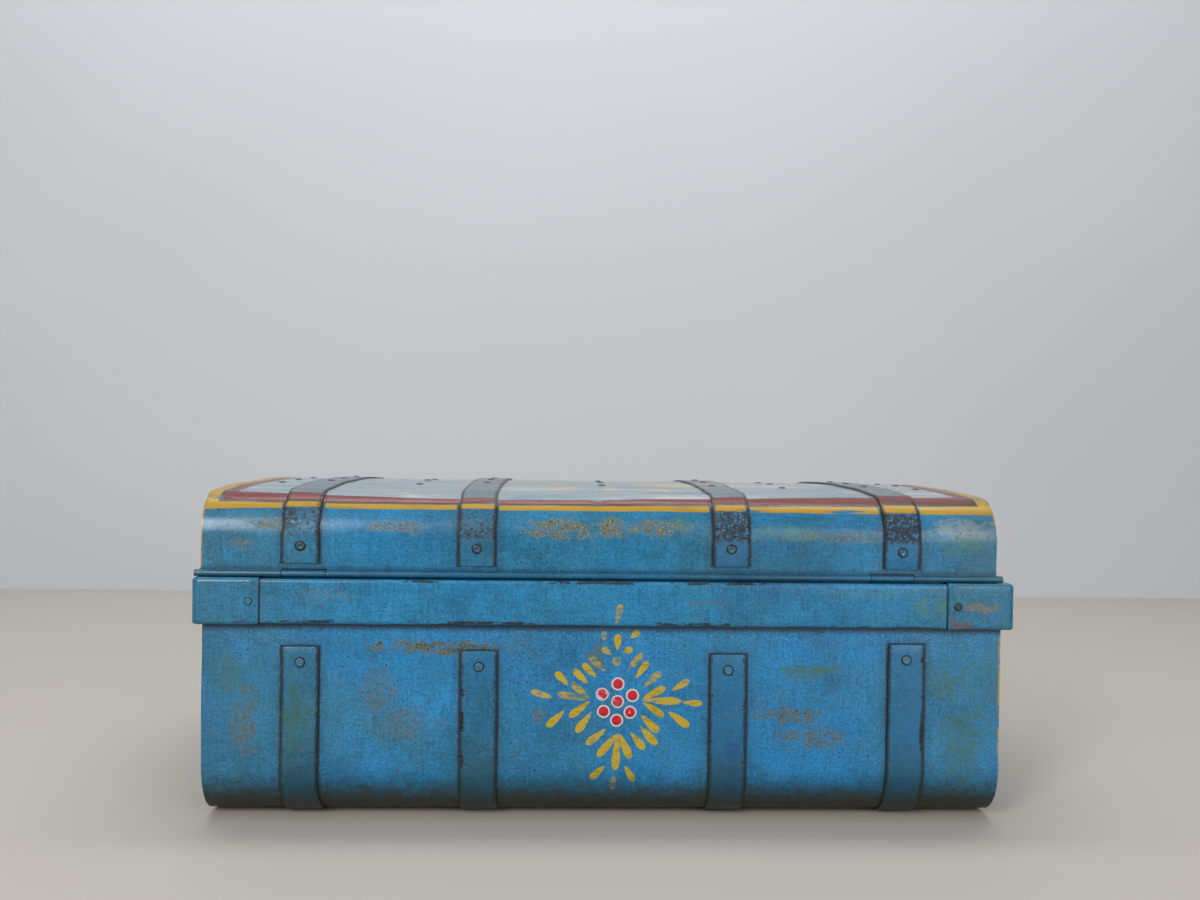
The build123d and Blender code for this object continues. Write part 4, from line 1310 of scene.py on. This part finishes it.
primer = Paint("grey_primer")
primer.coats((112, 118, 112), (136, 140, 132), warm=0.3)
rusting = primer.grain(55, detail=7, rough=0.72, start=121)
primer.over(rusting.ease(0.54, 0.68) * 0.75, (116, 80, 54), -0.1)
primer.over(rusting.ease(0.64, 0.72) * 0.8, (74, 50, 38), -0.2)
primer.speckle(1.4)
primer_finish = primer.dry(0.55)
print("iron, wire and primer nodes:", [len(bench.tree.nodes) for bench in (iron, wire, primer)])

# %% [markdown]
# Every piece gets its paint here, and the iron pieces of the solid model that show as they are get theirs.
# %% Painting the pieces


def dress(pieces, outside, lining=None):
    """Give pieces their paint, and their lining where they have one."""
    for piece in pieces:
        if len(piece.data.materials) == 0:
            piece.data.materials.append(None)
        piece.data.materials[0] = outside
        if lining:
            piece.data.materials[1] = lining


dress([body, *body_ends], body_finish, primer_finish)
dress([lid, *lid_ends], lid_finish, primer_finish)
dress(collar, collar_finish, primer_finish)
dress(leaves, lid_finish)
dress(straps, strap_finish)
dress(rivets, rivet_finish)
FINISHES = {
    "handle": iron_finish, "hasp": iron_finish, "lid_batten": primer_finish, "hinge_rod": wire_finish,
    "lid_rim_wires": wire_finish,
}
for name, node in nodes.items():
    for start, finish in FINISHES.items():
        if name.startswith(start) and not name.endswith("rivets"):
            node.data.materials.clear()
            node.data.materials.append(finish)
print("materials:", len(bpy.data.materials))

# %% [markdown]
# The trunk stands on a plain pale floor with a plain pale wall well behind it. Both are
# thin blocks; they belong to the stage and not to the trunk.
# %% Stage
FLOOR_HALF, WALL_Y = 6000.0, 1500.0
floor = block("floor", (-FLOOR_HALF, FLOOR_HALF), (-FLOOR_HALF, FLOOR_HALF), (-20, 0))
wall = block("wall", (-FLOOR_HALF, FLOOR_HALF), (WALL_Y, WALL_Y + 20), (-20, FLOOR_HALF))


def plain(name, colour, roughness):
    bench = Bench(name)
    soft = bench.grain(700, detail=2)
    shade = bench.mix(soft, tinted(colour, 0.97, 0.97, 0.97), paler(colour, 1.03, 0))
    return bench.finish(shade, roughness, bench.bump(soft, 0.0))


floor.data.materials.append(plain("pale_floor", seen(186, 180, 172), 0.75))
wall.data.materials.append(plain("pale_wall", seen(204, 207, 211), 0.9))
print("stage:", floor.name, wall.name)

# %% [markdown]
# Daylight comes from a window behind the camera's left shoulder and from a wide pale ceiling,
# which also shows in the gloss of the lid. A weaker lamp opens the shadows on the right, and
# one lights the wall. Large soft lamps are used, because the shadows are soft.
# %% Light


def softbox(name, place, aim, width, height, power):
    """A soft rectangular lamp at a place, turned to its aim, both in millimetres."""
    bpy.ops.object.light_add(type="AREA", location=Vector(place) * MM)
    lamp = bpy.context.object
    lamp.name = name
    lamp.data.shape = "RECTANGLE"
    lamp.data.size, lamp.data.size_y = width * MM, height * MM
    lamp.data.energy = power
    lamp.rotation_euler = (Vector(aim) - Vector(place)).to_track_quat("-Z", "Y").to_euler()


ROOM_GLOW = 0.32
softbox("left_window", (-1350, -2600, 1500), (0, -150, 200), 700, 1300, 46)
softbox("ceiling", (-200, -1300, 2600), (0, -100, 100), 5200, 4400, 29)
softbox("right_fill", (1300, -2500, 900), (0, 0, 150), 1500, 1200, 20)
softbox("wall_wash", (0, 500, 3200), (0, 1500, 400), 3000, 800, 50)
world = bpy.data.worlds.new("pale room")
bpy.context.scene.world = world
world.use_nodes = True
glow = world.node_tree.nodes["Background"].inputs
glow["Color"].default_value = (*seen(226, 230, 236), 1)
glow["Strength"].default_value = ROOM_GLOW
print("room glow:", ROOM_GLOW)
